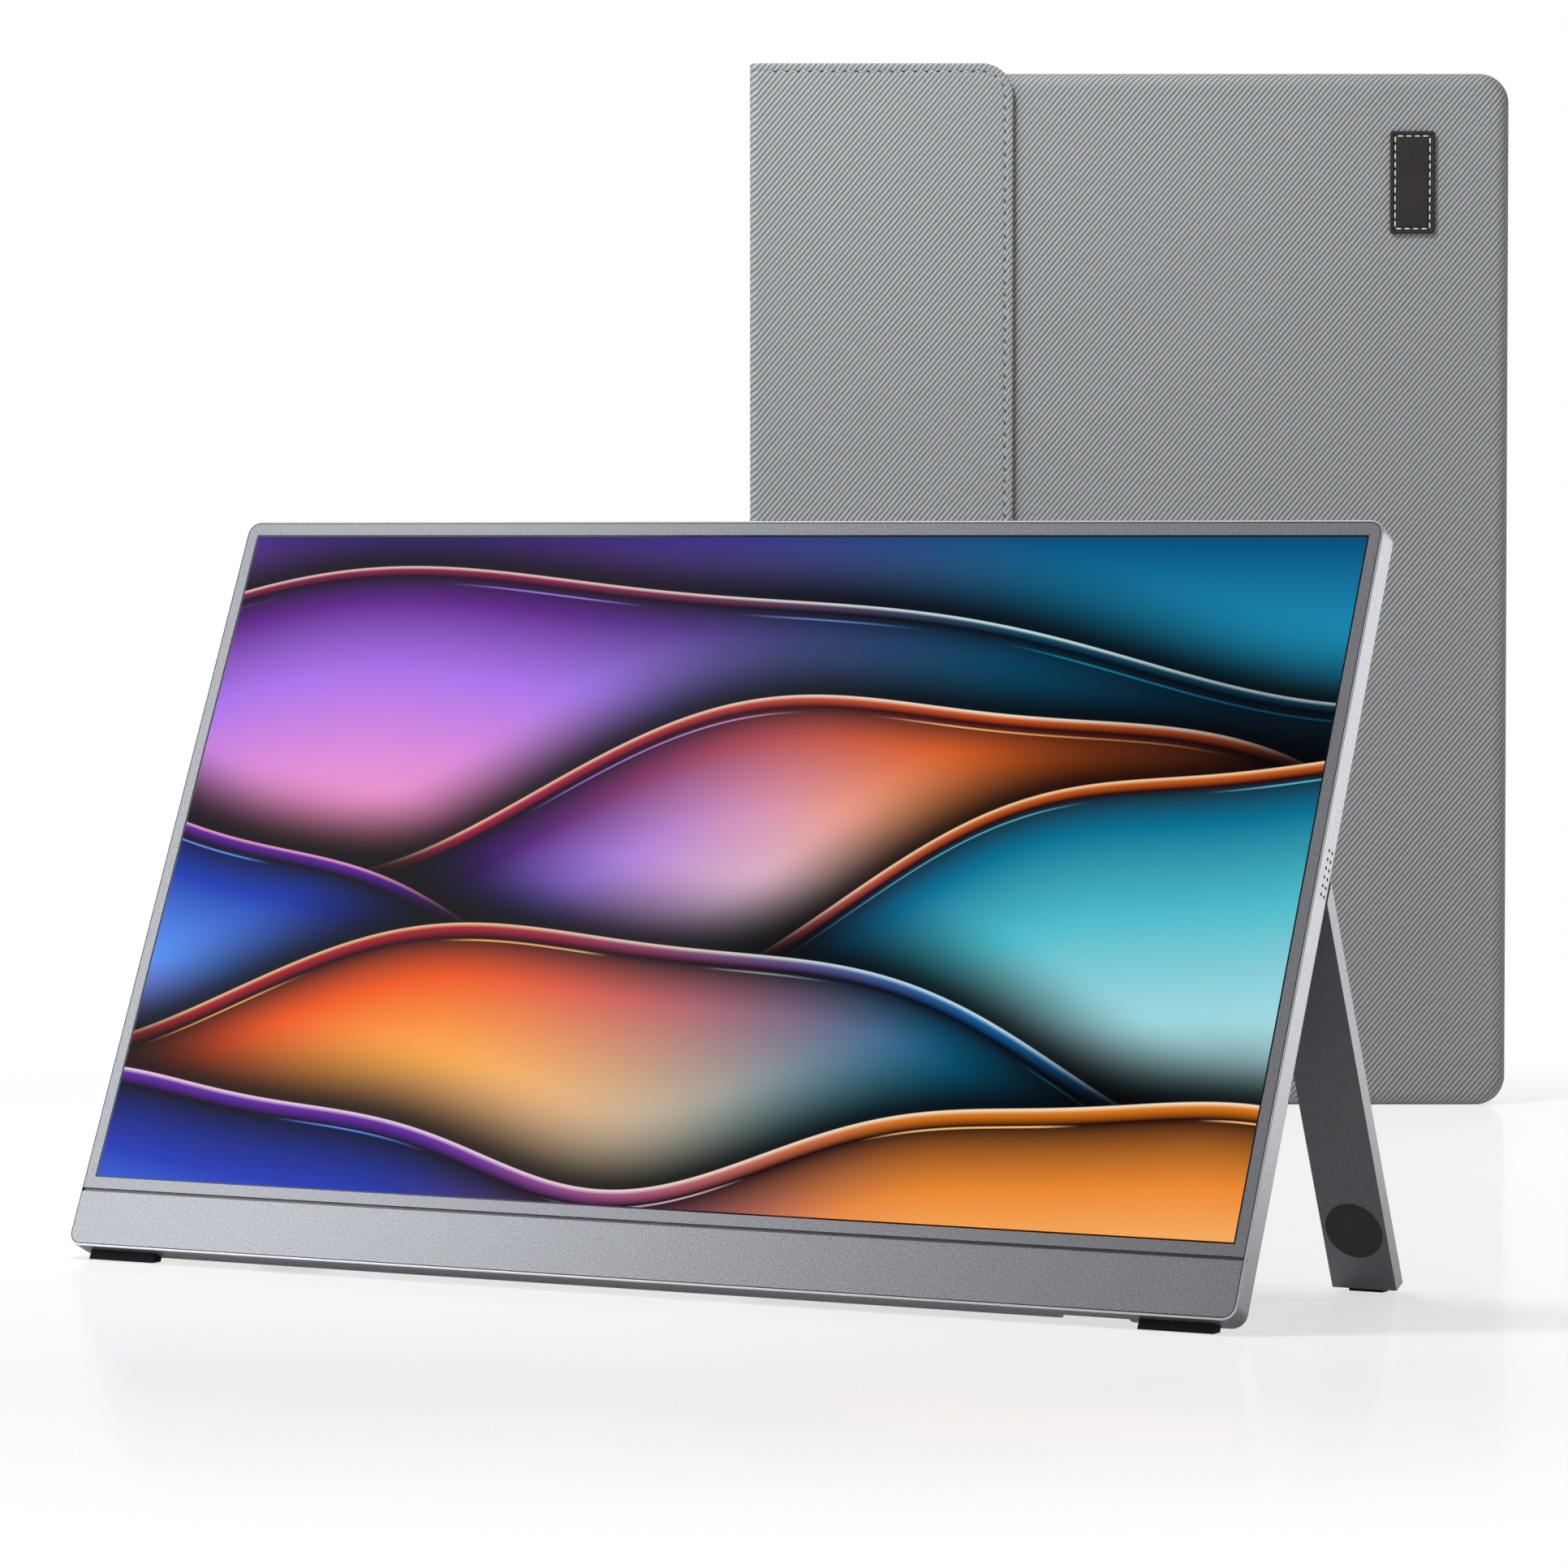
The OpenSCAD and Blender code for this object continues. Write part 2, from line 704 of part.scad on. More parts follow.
module ribbon_cable() {
    t = 0.3;
    y0 = cell_y1 + board_t;
    low = 8;
    high = board_z + 4;
    mid = board_y0 - 0.5;
    color("#d9dde2") on_case() along_x(-70, -50)
        polygon([[y0, low], [mid, low], [mid, high], [board_y0, high], [board_y0, high + t],
                 [mid - t, high + t], [mid - t, low + t], [y0, low + t]]);
}

// Socket shell on the left side with a tongue, open to the side.
module socket(z, w) {
    wall = 0.3;
    on_case() difference() {
        translate([-case_w / 2 + 0.2, 0, 0])
            pill_x(port_y, z, w, port_h, port_len + shell_wall - 0.2);
        translate([-case_w / 2 - 1, 0, 0])
            pill_x(port_y, z, w - 2 * wall, port_h - 2 * wall, port_len - 0.6);
    }
    on_case()
        box(-case_w / 2 + 1.2, -inner_x + port_len - 0.6, port_y - 0.35, port_y + 0.35,
            z - w / 2 + 1.5, z + w / 2 - 1.5);
}

module usb_c_low() { color("#a9adb3") socket(usb_low_z, usb_w); }

module usb_c_high() { color("#a9adb3") socket(usb_high_z, usb_w); }

module mini_hdmi() { color("#a9adb3") socket(hdmi_z, hdmi_w); }

module audio_jack() {
    color("#1d1e22") on_case() difference() {
        union() {
            pin_x(jack_y, audio_z, jack_r, -case_w / 2 + 0.2, -inner_x + 1);
            box(-inner_x + layer_gap, -inner_x + jack_len, jack_y - jack_size / 2,
                jack_y + jack_size / 2, audio_z - jack_size / 2, audio_z + jack_size / 2);
        }
        pin_x(jack_y, audio_z, jack_bore, -case_w / 2 - 1, -inner_x + jack_len - 1);
    }
}

module key_board() {
    x0 = plunger_x + plunger_len + switch_len;
    color("#1f6b3a") on_case()
        box(x0, x0 + key_board_t, tray_y1 + 0.2, inner_back, menu_down_z - button_len,
            power_z + button_len);
}

module key_switches() {
    half = 1.4;
    x0 = plunger_x + plunger_len;
    color("#c7cacf") on_case()
        for (z = button_zs) {
            box(x0, x0 + switch_len, button_y - half, button_y + half, z - 2, z + 2);
            pin_x(button_y, z, plunger_r, plunger_x, x0);
        }
}

// Speaker box against a side wall.
module speaker(side) {
    z0 = hole_z + (hole_rows - 1) * hole_pitch / 2 - speaker_h / 2;
    x = side * (inner_x - 0.15 - speaker_w / 2);
    on_case() {
        box(x - speaker_w / 2, x + speaker_w / 2, tray_y1 + 0.15, inner_back - layer_gap,
            z0, z0 + speaker_h);
    }
}

module speaker_left() { color("#26272b") speaker(-1); }

module speaker_right() { color("#26272b") speaker(1); }

module board_standoffs() {
    color("#c8a24a") on_case()
        for (p = standoff_places) difference() {
            pin_y(p[0], p[1], standoff_r, board_y1, housing_floor);
            pin_y(p[0], p[1], screw_r + press_gap, board_y1 - 1, board_y1 + 4);
        }
}

module board_screws() {
    color("#8f9399") on_case()
        for (p = standoff_places)
            front_screw(p[0], p[1], board_y0 - head_t, board_y1 + 3);
}

module case_screws() {
    color("#55585e") on_case()
        for (p = case_screw_places)
            rear_screw(p[0], p[1], tray_y1 + 0.8, case_t - layer_gap);
}

module stand_magnets() {
    color("#6a6d72") on_case()
        for (side = [-1, 1], z = stand_magnet_zs)
            pin_y(side * case_screw_x, z, stand_magnet_r,
                  inner_back - layer_gap - stand_magnet_t, inner_back - layer_gap);
}

// Rubber foot under the case, cut flat by the table.
module case_foot(side) {
    above_table() on_case() foot_block(side, 0);
}

module case_foot_left() { color("#1f1f21") case_foot(-1); }

module case_foot_right() { color("#1f1f21") case_foot(1); }

// ---- hinges ----

// Plate screwed inside the back, with an arm through the slot and a barrel.
module hinge_bracket(side) {
    x = side * hinge_x;
    on_case() difference() {
        union() {
            box(x - bracket_w / 2, x + bracket_w / 2, inner_back - bracket_t, inner_back,
                pivot_h - bracket_h / 2, pivot_h + bracket_h / 2);
            box(x - barrel_len / 2, x + barrel_len / 2, inner_back - thin, pivot_y,
                pivot_h - arm_t / 2, pivot_h + arm_t / 2);
            pin_x(pivot_y, pivot_h, barrel_d / 2, x - barrel_len / 2, x + barrel_len / 2);
        }
        pin_x(pivot_y, pivot_h, shaft_d / 2 + run_fit, x - barrel_len, x + barrel_len);
        for (s = [-1, 1])
            pin_y(x + s * bracket_screw_x, pivot_h, screw_r + 0.1,
                  inner_back - bracket_t - 1, inner_back + 1);
    }
}

module hinge_bracket_left() { color("#7d8087") hinge_bracket(-1); }

module hinge_bracket_right() { color("#7d8087") hinge_bracket(1); }

module hinge_screws() {
    color("#8f9399") on_case()
        for (side = [-1, 1], s = [-1, 1])
            front_screw(side * hinge_x + s * bracket_screw_x, pivot_h,
                        inner_back - bracket_t - head_t, case_t - 0.35);
}

module hinge_shaft(side) {
    on_stand()
        pin_x(0, 0, shaft_d / 2, side * hinge_x - shaft_len / 2, side * hinge_x + shaft_len / 2);
}

module hinge_shaft_left() { color("#b4b7bc") hinge_shaft(-1); }

module hinge_shaft_right() { color("#b4b7bc") hinge_shaft(1); }

// ---- kickstand ----

// Side outline of the stand down to a length, with the mitred stop at the top. The corner
// under the stop is rounded about the pivot, so that it clears the back as it swings.
module stand_side(len) {
    steps = 4;
    last = acos(stand_t / 2 / stop_h);
    polygon(concat([[-stand_t / 2, -len], [stand_t / 2, -len], [stand_t / 2, mitre_out]],
                   [for (i = [0:steps])
                        let (a = stand_open + (last - stand_open) * i / steps)
                        stop_h * [-cos(a), sin(a)]]));
}

module stand_fillets() {
    for (side = [-1, 1])
        translate([side * leg_x, 0, -bar_drop]) mirror([side > 0 ? 1 : 0, 0, 0])
            difference() {
                box(-thin, stand_fillet, -stand_t / 2, stand_t / 2, -stand_fillet, thin);
                pin_y(stand_fillet, -stand_fillet, stand_fillet, -stand_t, stand_t);
            }
}

// Seat of a leg's rubber foot, or the foot itself.
module leg_foot_block(side, grow) {
    x = side * (case_w / 2 - leg_w / 2);
    box(x - leg_foot_w / 2 - grow, x + leg_foot_w / 2 + grow, -stand_t / 2 + 0.6 - grow,
        stand_t / 2 - 0.6 + grow, -leg_len - 3 * leg_foot_show, -leg_len + leg_foot_seat + grow);
}

module stand_frame() {
    color("#84878f") on_stand() difference() {
        union() {
            along_x(-case_w / 2, case_w / 2) stand_side(bar_drop);
            along_x(-case_w / 2, -leg_x) stand_side(leg_len);
            along_x(leg_x, case_w / 2) stand_side(leg_len);
            stand_fillets();
        }
        for (side = [-1, 1]) {
            box(side * hinge_x - barrel_slot / 2, side * hinge_x + barrel_slot / 2,
                -stand_t, stand_t, -slot_drop, bar_drop);
            pin_x(0, 0, shaft_d / 2 + press_gap, side * hinge_x - shaft_len / 2 - 0.5,
                  side * hinge_x + shaft_len / 2 + 0.5);
            pin_y(side * case_screw_x, pad_rise - leg_len, pad_d / 2 + layer_gap,
                  -stand_t, -stand_t / 2 + pad_seat);
            leg_foot_block(side, layer_fit);
        }
    }
}

module stand_pad(side) {
    on_stand()
        pin_y(side * case_screw_x, pad_rise - leg_len, pad_d / 2,
              -stand_t / 2 + pad_seat - pad_t, -stand_t / 2 + pad_seat);
}

module stand_pad_left() { color("#2b2a2f") stand_pad(-1); }

module stand_pad_right() { color("#2b2a2f") stand_pad(1); }

module stand_foot(side) {
    above_table() on_stand() leg_foot_block(side, 0);
}

module stand_foot_left() { color("#1f1f21") stand_foot(-1); }

module stand_foot_right() { color("#1f1f21") stand_foot(1); }

// ---- buttons ----

module side_button(z) {
    on_case() {
        translate([-case_w / 2 - button_proud, 0, 0])
            pill_x(button_y, z, button_len, button_w, button_proud + shell_wall + thin);
        box(-inner_x, -inner_x + flange_t, button_y - button_w / 2 - flange_grow,
            button_y + button_w / 2 + flange_grow, z - flange_len / 2, z + flange_len / 2);
    }
}

module power_button() { color("#6f737b") side_button(power_z); }

module menu_button_up() { color("#6f737b") side_button(menu_up_z); }

module menu_button_down() { color("#6f737b") side_button(menu_down_z); }

// ---- sleeve ----

// Soft-edged body of the sleeve, drawn in by a distance on every closed side.
module sleeve_form(inset) {
    edge = sleeve_edge_r - inset;
    hull($fn = hull_fn)
        for (a = [0, 30, 60, 90]) {
            side = inset + edge * (1 - sin(a));
            face = inset + edge * (1 - cos(a));
            plate(-mouth_inset, sleeve_w - side, side, sleeve_l - side,
                  max(sleeve_r - side, 1), face, sleeve_t - face);
        }
}

// One layer of the sleeve: the box from the mouth on, and the back that reaches
// to the folded edge.
module sleeve_layer(outer, inner) {
    difference() {
        sleeve_form(outer);
        sleeve_form(inner);
        box(-2 * mouth_inset, mouth_inset, -1, sleeve_t - wall_t, -1, sleeve_l + 1);
        box(-2 * mouth_inset, flap_t / 2 + crease_gap, -1, sleeve_t + 1, -1, sleeve_l + 1);
    }
}

module sleeve_cover() {
    color("#8f9295") on_sleeve() sleeve_layer(0, fabric_t);
}

// Foam on the front or on the back half of the sleeve.
module foam_half(y0, y1) {
    intersection() {
        sleeve_layer(fabric_t + layer_fit, fabric_t + foam_t);
        box(-1, sleeve_w + 1, y0, y1, -1, sleeve_l + 1);
    }
}

module foam_front() {
    color("#4a4d52") on_sleeve() difference() {
        foam_half(-1, sleeve_t / 2 - layer_fit);
        for (z = magnet_zs)
            pin_y(magnet_x, z, magnet_d / 2 + magnet_fit, 0, fabric_t + magnet_t + magnet_fit);
    }
}

module foam_back() {
    color("#4a4d52") on_sleeve() foam_half(sleeve_t / 2, sleeve_t + 1);
}

module sleeve_lining() {
    color("#5d6066") on_sleeve() sleeve_layer(fabric_t + foam_t + lining_fit, wall_t);
}

module mouth_binding() {
    color("#6c6f74") on_sleeve()
        box(mouth_inset - binding_t, mouth_inset - layer_fit, 0, wall_t, sleeve_r,
            sleeve_l - sleeve_r);
}

module catch_magnets() {
    color("#77797e") on_sleeve()
        for (z = magnet_zs)
            pin_y(magnet_x, z, magnet_d / 2, fabric_t + layer_fit,
                  fabric_t + magnet_t);
}

module patch() {
    x0 = sleeve_w - patch_side - patch_w;
    z0 = sleeve_l - patch_top - patch_h;
    far = patch_margin + patch_groove;
    color("#2a2724") on_sleeve() difference() {
        plate(x0, x0 + patch_w, z0, z0 + patch_h, 1.2, -patch_t, 0);
        difference() {
            plate(x0 + patch_margin, x0 + patch_w - patch_margin, z0 + patch_margin,
                  z0 + patch_h - patch_margin, 0.8, -patch_t - 1, -patch_t + 0.35);
            plate(x0 + far, x0 + patch_w - far, z0 + far, z0 + patch_h - far, 0.6,
                  -patch_t - 2, 1);
        }
    }
}

// Round edge of the flap or the spine, on a crease.
module crease(y) {
    translate([0, y, flap_lift]) cylinder(r = flap_t / 2, h = flap_len);
}

module flap_spine() {
    color("#8f9295") on_sleeve() {
        box(-flap_t / 2, flap_t / 2, crease_front + flap_t / 2 + crease_gap, crease_back,
            flap_lift, flap_lift + flap_len);
        crease(crease_back);
    }
}

// Flap outline with its free corners rounded, between two depths.
module flap_sheet(x0, x1, y0, y1) {
    intersection() {
        plate(x0 - 2 * flap_r, x1, flap_lift, flap_lift + flap_len, flap_r, y0, y1);
        box(x0, x1, y0 - 1, y1 + 1, flap_lift, flap_lift + flap_len);
    }
}

module flap_cover() {
    outer = crease_front - flap_t / 2;
    color("#8f9295") on_sleeve() {
        flap_sheet(0, flap_w, outer, outer + skin_t);
        crease(crease_front);
    }
}

module flap_lining() {
    y0 = crease_front - flap_t / 2 + skin_t;
    y1 = crease_front + flap_t / 2;
    color("#5d6066") on_sleeve() difference() {
        flap_sheet(flap_t / 2 + layer_fit, flap_w, y0, y1);
        for (z = magnet_zs)
            pin_y(magnet_x, z, magnet_d / 2 + magnet_fit, y0 - 1, y0 + magnet_t + magnet_fit);
    }
}

module flap_magnets() {
    y0 = crease_front - flap_t / 2 + skin_t;
    color("#77797e") on_sleeve()
        for (z = magnet_zs)
            pin_y(magnet_x, z, magnet_d / 2, y0, y0 + magnet_t);
}

rear_shell();
front_border();
chin_cover();
screen_panel();
optical_sheets();
light_guide();
backlight_tray();
led_strip();
main_board();
board_chips();
shield_can();
panel_board();
ribbon_cable();
usb_c_low();
usb_c_high();
mini_hdmi();
audio_jack();
key_board();
key_switches();
speaker_left();
speaker_right();
case_foot_left();
case_foot_right();
hinge_bracket_left();
hinge_bracket_right();
board_standoffs();
board_screws();
hinge_screws();
case_screws();
stand_magnets();
stand_frame();
hinge_shaft_left();
hinge_shaft_right();
stand_pad_left();
stand_pad_right();
stand_foot_left();
stand_foot_right();
power_button();
menu_button_up();
menu_button_down();
sleeve_cover();
foam_front();
foam_back();
sleeve_lining();
mouth_binding();
catch_magnets();
patch();
flap_spine();
flap_cover();
flap_lining();
flap_magnets();
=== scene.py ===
"""Looks of the portable monitor and its sleeve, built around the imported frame."""
import json
import math

import bmesh
import bpy
import numpy as np
from bpy.props import FloatProperty, FloatVectorProperty, PointerProperty
from bpy.types import Operator, Panel, PropertyGroup
from mathutils import Euler, Matrix, Vector


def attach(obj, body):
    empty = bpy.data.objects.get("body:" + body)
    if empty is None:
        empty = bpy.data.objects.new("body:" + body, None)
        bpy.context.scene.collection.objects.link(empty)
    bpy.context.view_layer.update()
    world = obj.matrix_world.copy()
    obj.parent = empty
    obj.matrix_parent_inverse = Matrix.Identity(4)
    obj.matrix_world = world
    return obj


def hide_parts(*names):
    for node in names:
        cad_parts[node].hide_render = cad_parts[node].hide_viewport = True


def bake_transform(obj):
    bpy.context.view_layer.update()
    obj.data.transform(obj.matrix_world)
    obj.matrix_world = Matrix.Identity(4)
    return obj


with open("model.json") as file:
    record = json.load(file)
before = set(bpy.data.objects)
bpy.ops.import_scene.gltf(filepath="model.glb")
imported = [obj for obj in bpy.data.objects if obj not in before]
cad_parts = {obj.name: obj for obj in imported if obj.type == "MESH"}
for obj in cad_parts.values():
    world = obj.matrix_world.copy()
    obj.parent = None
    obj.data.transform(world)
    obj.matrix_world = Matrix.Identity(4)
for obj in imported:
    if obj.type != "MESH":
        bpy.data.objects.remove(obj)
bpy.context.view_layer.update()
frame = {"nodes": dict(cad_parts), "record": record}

bl_info = {
    "name": "Portable monitor with sleeve",
    "version": (1, 0, 0),
    "blender": (4, 5, 0),
    "location": "3D View > Sidebar > Monitor",
    "description": "Screen, fabric and metal finishes of a portable monitor and its sleeve",
    "category": "Add Mesh",
}

MERGE = 1e-6  # points nearer than this are one


# ---- settings ----

def size(name, about, default):
    """A length in metres."""
    return FloatProperty(name=name, description=about, default=default, min=0.0,
                         unit="LENGTH", precision=5)


def place(name, about, default):
    """A coordinate in metres, which may be negative."""
    return FloatProperty(name=name, description=about, default=default, unit="LENGTH",
                         precision=5)


def amount(name, about, default):
    """A plain number from zero up."""
    return FloatProperty(name=name, description=about, default=default, min=0.0)


def angle(name, about, degrees):
    """An angle, given in degrees and kept in radians."""
    return FloatProperty(name=name, description=about, default=math.radians(degrees),
                         unit="ROTATION")


def colour(name, about, hex_code):
    """A colour as it is seen, kept as linear light."""
    return FloatVectorProperty(name=name, description=about, default=linear(hex_code)[:3],
                               size=3, min=0.0, max=1.0, subtype="COLOR")


def linear(hex_code):
    """Linear light of a #rrggbb colour, with full opacity."""
    parts = [int(hex_code[i:i + 2], 16) / 255 for i in (1, 3, 5)]
    return tuple(((c + 0.055) / 1.055) ** 2.4 if c > 0.04045 else c / 12.92
                 for c in parts) + (1.0,)


class MonitorSizes(PropertyGroup):
    lean: angle("Lean", "Lean of the screen from upright", 24.8)
    turn: angle("Turn", "Turn of the monitor about the vertical", 28.9)
    foot_x: place("Foot from middle", "The left foot to the middle of the case", 0.1594)
    foot_y: place("Foot from front", "Front face to the middle of the left foot", -0.003503)
    table: place("Bottom edge height", "Bottom front edge above the table", 0.003862941)
    picture_w: size("Picture width", "Width of the lit area", 0.3442)
    picture_h: size("Picture height", "Height of the lit area", 0.1936)
    chin_h: size("Chin height", "Bottom edge to the lit area", 0.0204)
    glass_y: size("Glass depth", "Front face to the lit surface", 0.00010)
    pivot_h: size("Pivot height", "Bottom edge to the stand's pivot", 0.1155)
    pivot_y: size("Pivot depth", "Front face to the stand's pivot", 0.0105)
    opening: angle("Stand opening", "Back of the case to the open stand", 48.4)
    case_w: size("Case width", "Width of the case", 0.3528)
    case_h: size("Case height", "Height of the case", 0.2188)
    case_r: size("Case corner", "Radius of the corners of the case", 0.004)
    groove_z: size("Groove height", "Bottom edge to the middle of the groove", 0.0162)
    groove_w: size("Groove width", "Width of the groove above the chin", 0.0011)


class SleeveSizes(PropertyGroup):
    at_x: place("Place in x", "Folded edge of the sleeve", 0.170)
    at_y: place("Place in y", "Front face of the sleeve", 0.472)
    width: size("Width", "Folded edge to the closed end", 0.2621)
    thick: size("Thickness", "Thickness of the sleeve", 0.018)
    height: size("Height", "Height as it stands", 0.3585)
    corner: size("Corner radius", "Radius of the corners seen from the front", 0.010)
    edge: size("Edge radius", "Radius of the soft edges", 0.005)
    wall: size("Wall", "Fabric, foam and lining together", 0.0022)
    skin: size("Fabric and foam", "Fabric and foam without the lining", 0.00168)
    mouth: size("Mouth", "Folded edge to the edge of the mouth", 0.028)
    neck: size("Neck", "Folded edge to the end of the back panel", 0.0015)
    sag: size("Sag", "Depth of the soft hollows in the faces", 0.0003)
    flap_w: size("Flap width", "Folded edge to the free edge of the flap", 0.090)
    flap_t: size("Flap thickness", "Thickness of the flap", 0.0024)
    flap_low: size("Flap bottom", "Lower end of the flap", 0.0005)
    flap_high: size("Flap top", "Upper end of the flap", 0.3618)
    flap_corner: size("Flap corner", "Radius of the flap's free corners", 0.011)
    crease_back: size("Back crease", "Depth of the crease at the back", 0.0168)
    crease_front: place("Front crease", "Depth of the crease at the front", -0.0015)
    seam_in: size("Stitch line", "Edge of the flap to its stitches", 0.0029)
    pitch: size("Stitch pitch", "Length of one stitch with its gap", 0.0040)
    patch_x: size("Patch from the closed end", "Closed end to the patch", 0.026)
    patch_z: size("Patch from the top", "Top of the sleeve to the patch", 0.020)
    patch_w: size("Patch width", "Width of the rubber patch", 0.0155)
    patch_h: size("Patch height", "Height of the rubber patch", 0.0355)
    patch_t: size("Patch thickness", "How far the patch stands proud", 0.0012)
    rib: size("Twill rib", "Distance between two ribs of the twill", 0.00148)
    rib_angle: angle("Twill angle", "Slope of the ribs", 50.0)


class Colours(PropertyGroup):
    case: colour("Case", "Blasted metal of the case", "#7f8186")
    chin: colour("Chin", "Blasted metal under the screen", "#888a8f")
    stand: colour("Stand", "Metal of the kickstand", "#77777c")
    twill: colour("Twill", "Outer fabric of the sleeve", "#989b9d")
    lining: colour("Lining", "Brushed lining of the sleeve", "#565a60")
    thread: colour("Thread", "Sewing thread of the flap", "#a8abad")
    patch_thread: colour("Patch thread", "Sewing thread of the patch", "#dcdcd6")
    patch: colour("Patch", "Rubber patch", "#272422")


class StageSettings(PropertyGroup):
    eye: FloatVectorProperty(name="Camera", description="Place of the camera", size=3,
                             default=(0.1806, -1.7277, 0.1982), subtype="TRANSLATION",
                             unit="LENGTH", precision=5)
    pitch: angle("Pitch", "How far the camera looks down", 2.24)
    lens: FloatProperty(name="Lens", description="Focal length on a 36 mm sensor",
                        default=145.3, min=1.0, unit="CAMERA")
    sky: amount("Sky", "Light from all sides", 0.28)
    key: amount("Key", "Watts of the lamp above", 5.2)
    card: amount("Card", "Watts of the tall lamp on the left", 2.3)
    rim: amount("Rim", "Watts of the lamp at the right side", 0.11)
    back: amount("Back", "Watts of the wide lamp behind", 14.0)


# ---- frames of the parts ----

def case_frame():
    """Turns a point given on the case into the shared frame: lean about x, move to the foot,
    turn about z."""
    m = bpy.context.scene.monitor_sizes
    turn = Matrix.Rotation(-m.turn, 4, "Z")
    move = Matrix.Translation((m.foot_x, m.foot_y, m.table))
    return turn @ move @ Matrix.Rotation(-m.lean, 4, "X")


def stand_frame():
    """Turns a point given on the open stand, from its pivot, into the shared frame."""
    m = bpy.context.scene.monitor_sizes
    return (case_frame() @ Matrix.Translation((0, m.pivot_y, m.pivot_h))
            @ Matrix.Rotation(m.opening, 4, "X"))


def sleeve_frame():
    """Turns a point given on the sleeve into the shared frame."""
    s = bpy.context.scene.sleeve_sizes
    return Matrix.Translation((s.at_x, s.at_y, 0))


# ---- surfaces ----

def spread(*stops):
    """Rising positions: (start, n, next, n, ... end) puts n even steps between neighbours."""
    parts = [np.linspace(stops[i], stops[i + 2], stops[i + 1], endpoint=False)
             for i in range(0, len(stops) - 2, 2)]
    return np.concatenate(parts + [[stops[-1]]])


def mirrored(half, *stops):
    """Positions from -half to half. The stops are measured in from both ends, to the middle."""
    left = spread(*stops)[:-1] - half
    return np.concatenate([left, [0.0], -left[::-1]])


def smooth(t):
    """Smoothstep of t, held between 0 and 1."""
    t = np.clip(t, 0, 1)
    return t * t * (3 - 2 * t)


def grid_faces(rows, cols):
    """Quads between neighbouring rows and columns of a grid that is numbered row by row. They
    are cut in two from their first corner, so two corner quads start at the grid's corner:
    otherwise the cuts of two grids with one outline would fall together there."""
    i, j = np.meshgrid(np.arange(rows - 1), np.arange(cols - 1), indexing="ij")
    a = (i * cols + j).ravel()
    quads = np.stack([a, a + cols, a + cols + 1, a + 1], axis=1)
    for corner in (cols - 2, (rows - 2) * (cols - 1)):
        quads[corner] = np.roll(quads[corner], 1)
    return quads


def make_piece(name, patches, matrix, finish, fields=None):
    """One smooth mesh from grids of points with their cloth coordinates, moved by a matrix.
    Points that meet are joined, and faces are turned outwards. Fields hold a value for each
    point, as an attribute."""
    points, uvs, faces, start = [], [], [], 0
    for p, uv in patches:
        rows, cols = p.shape[:2]
        faces.append(grid_faces(rows, cols) + start)
        points.append(p.reshape(-1, 3))
        uvs.append(uv.reshape(-1, 2))
        start += rows * cols
    points, uvs, faces = map(np.concatenate, (points, uvs, faces))
    matrix = np.array(matrix)
    points = points @ matrix[:3, :3].T + matrix[:3, 3]
    mesh = bpy.data.meshes.new(name)
    mesh.from_pydata(points, [], faces)
    mesh.uv_layers.new(name="cloth").data.foreach_set(
        "uv", uvs[faces.ravel()].astype(np.float32).ravel())
    for key, values in (fields or {}).items():
        mesh.attributes.new(key, "FLOAT", "POINT").data.foreach_set(
            "value", values.astype(np.float32).ravel())
    bm = bmesh.new()
    bm.from_mesh(mesh)
    bmesh.ops.remove_doubles(bm, verts=bm.verts, dist=MERGE)
    bmesh.ops.recalc_face_normals(bm, faces=bm.faces)
    if bm.calc_volume(signed=True) < 0:
        bmesh.ops.reverse_faces(bm, faces=bm.faces)
    bm.to_mesh(mesh)
    bm.free()
    mesh.polygons.foreach_set("use_smooth", np.ones(len(mesh.polygons), bool))
    mesh.materials.append(finish_of(finish))
    piece = bpy.data.objects.new(name, mesh)
    bpy.context.scene.collection.objects.link(piece)
    return piece


def round_corners(x, z, end, half, radius):
    """Moves the points near the two far corners of a rectangle onto quarter circles: u and v,
    which run from 0 to 1 over a corner's square, become u * sqrt(1 - v^2 / 2) and
    v * sqrt(1 - u^2 / 2). Returns the points, their way in from the outline, and the outline's
    outward direction there."""
    cx = np.clip((x - end + radius) / radius, 0, 1)
    cz = np.clip((np.abs(z) - half + radius) / radius, 0, 1)
    corner = (cx > 0) & (cz > 0)
    side = np.where(z < 0, -1.0, 1.0)
    x = np.where(corner, end - radius + radius * cx * np.sqrt(1 - cz ** 2 / 2), x)
    z = np.where(corner, side * (half - radius + radius * cz * np.sqrt(1 - cx ** 2 / 2)), z)
    qx, qz = x - end + radius, np.abs(z) - half + radius
    reach = np.maximum(np.hypot(qx, qz), 1e-9)
    way_in = radius - np.where(corner, reach, np.maximum(qx, qz))
    nx = np.where(corner, qx / reach, (qx > qz) * 1.0)
    nz = side * np.where(corner, qz / reach, (qx <= qz) * 1.0)
    return x, z, np.maximum(way_in, 0), nx, nz


def lengths(p, axis):
    """Distance along a grid's rows or columns, from its first point."""
    step = np.linalg.norm(np.diff(p, axis=axis), axis=2)
    return np.cumsum(np.insert(step, 0, 0, axis=axis), axis=axis)


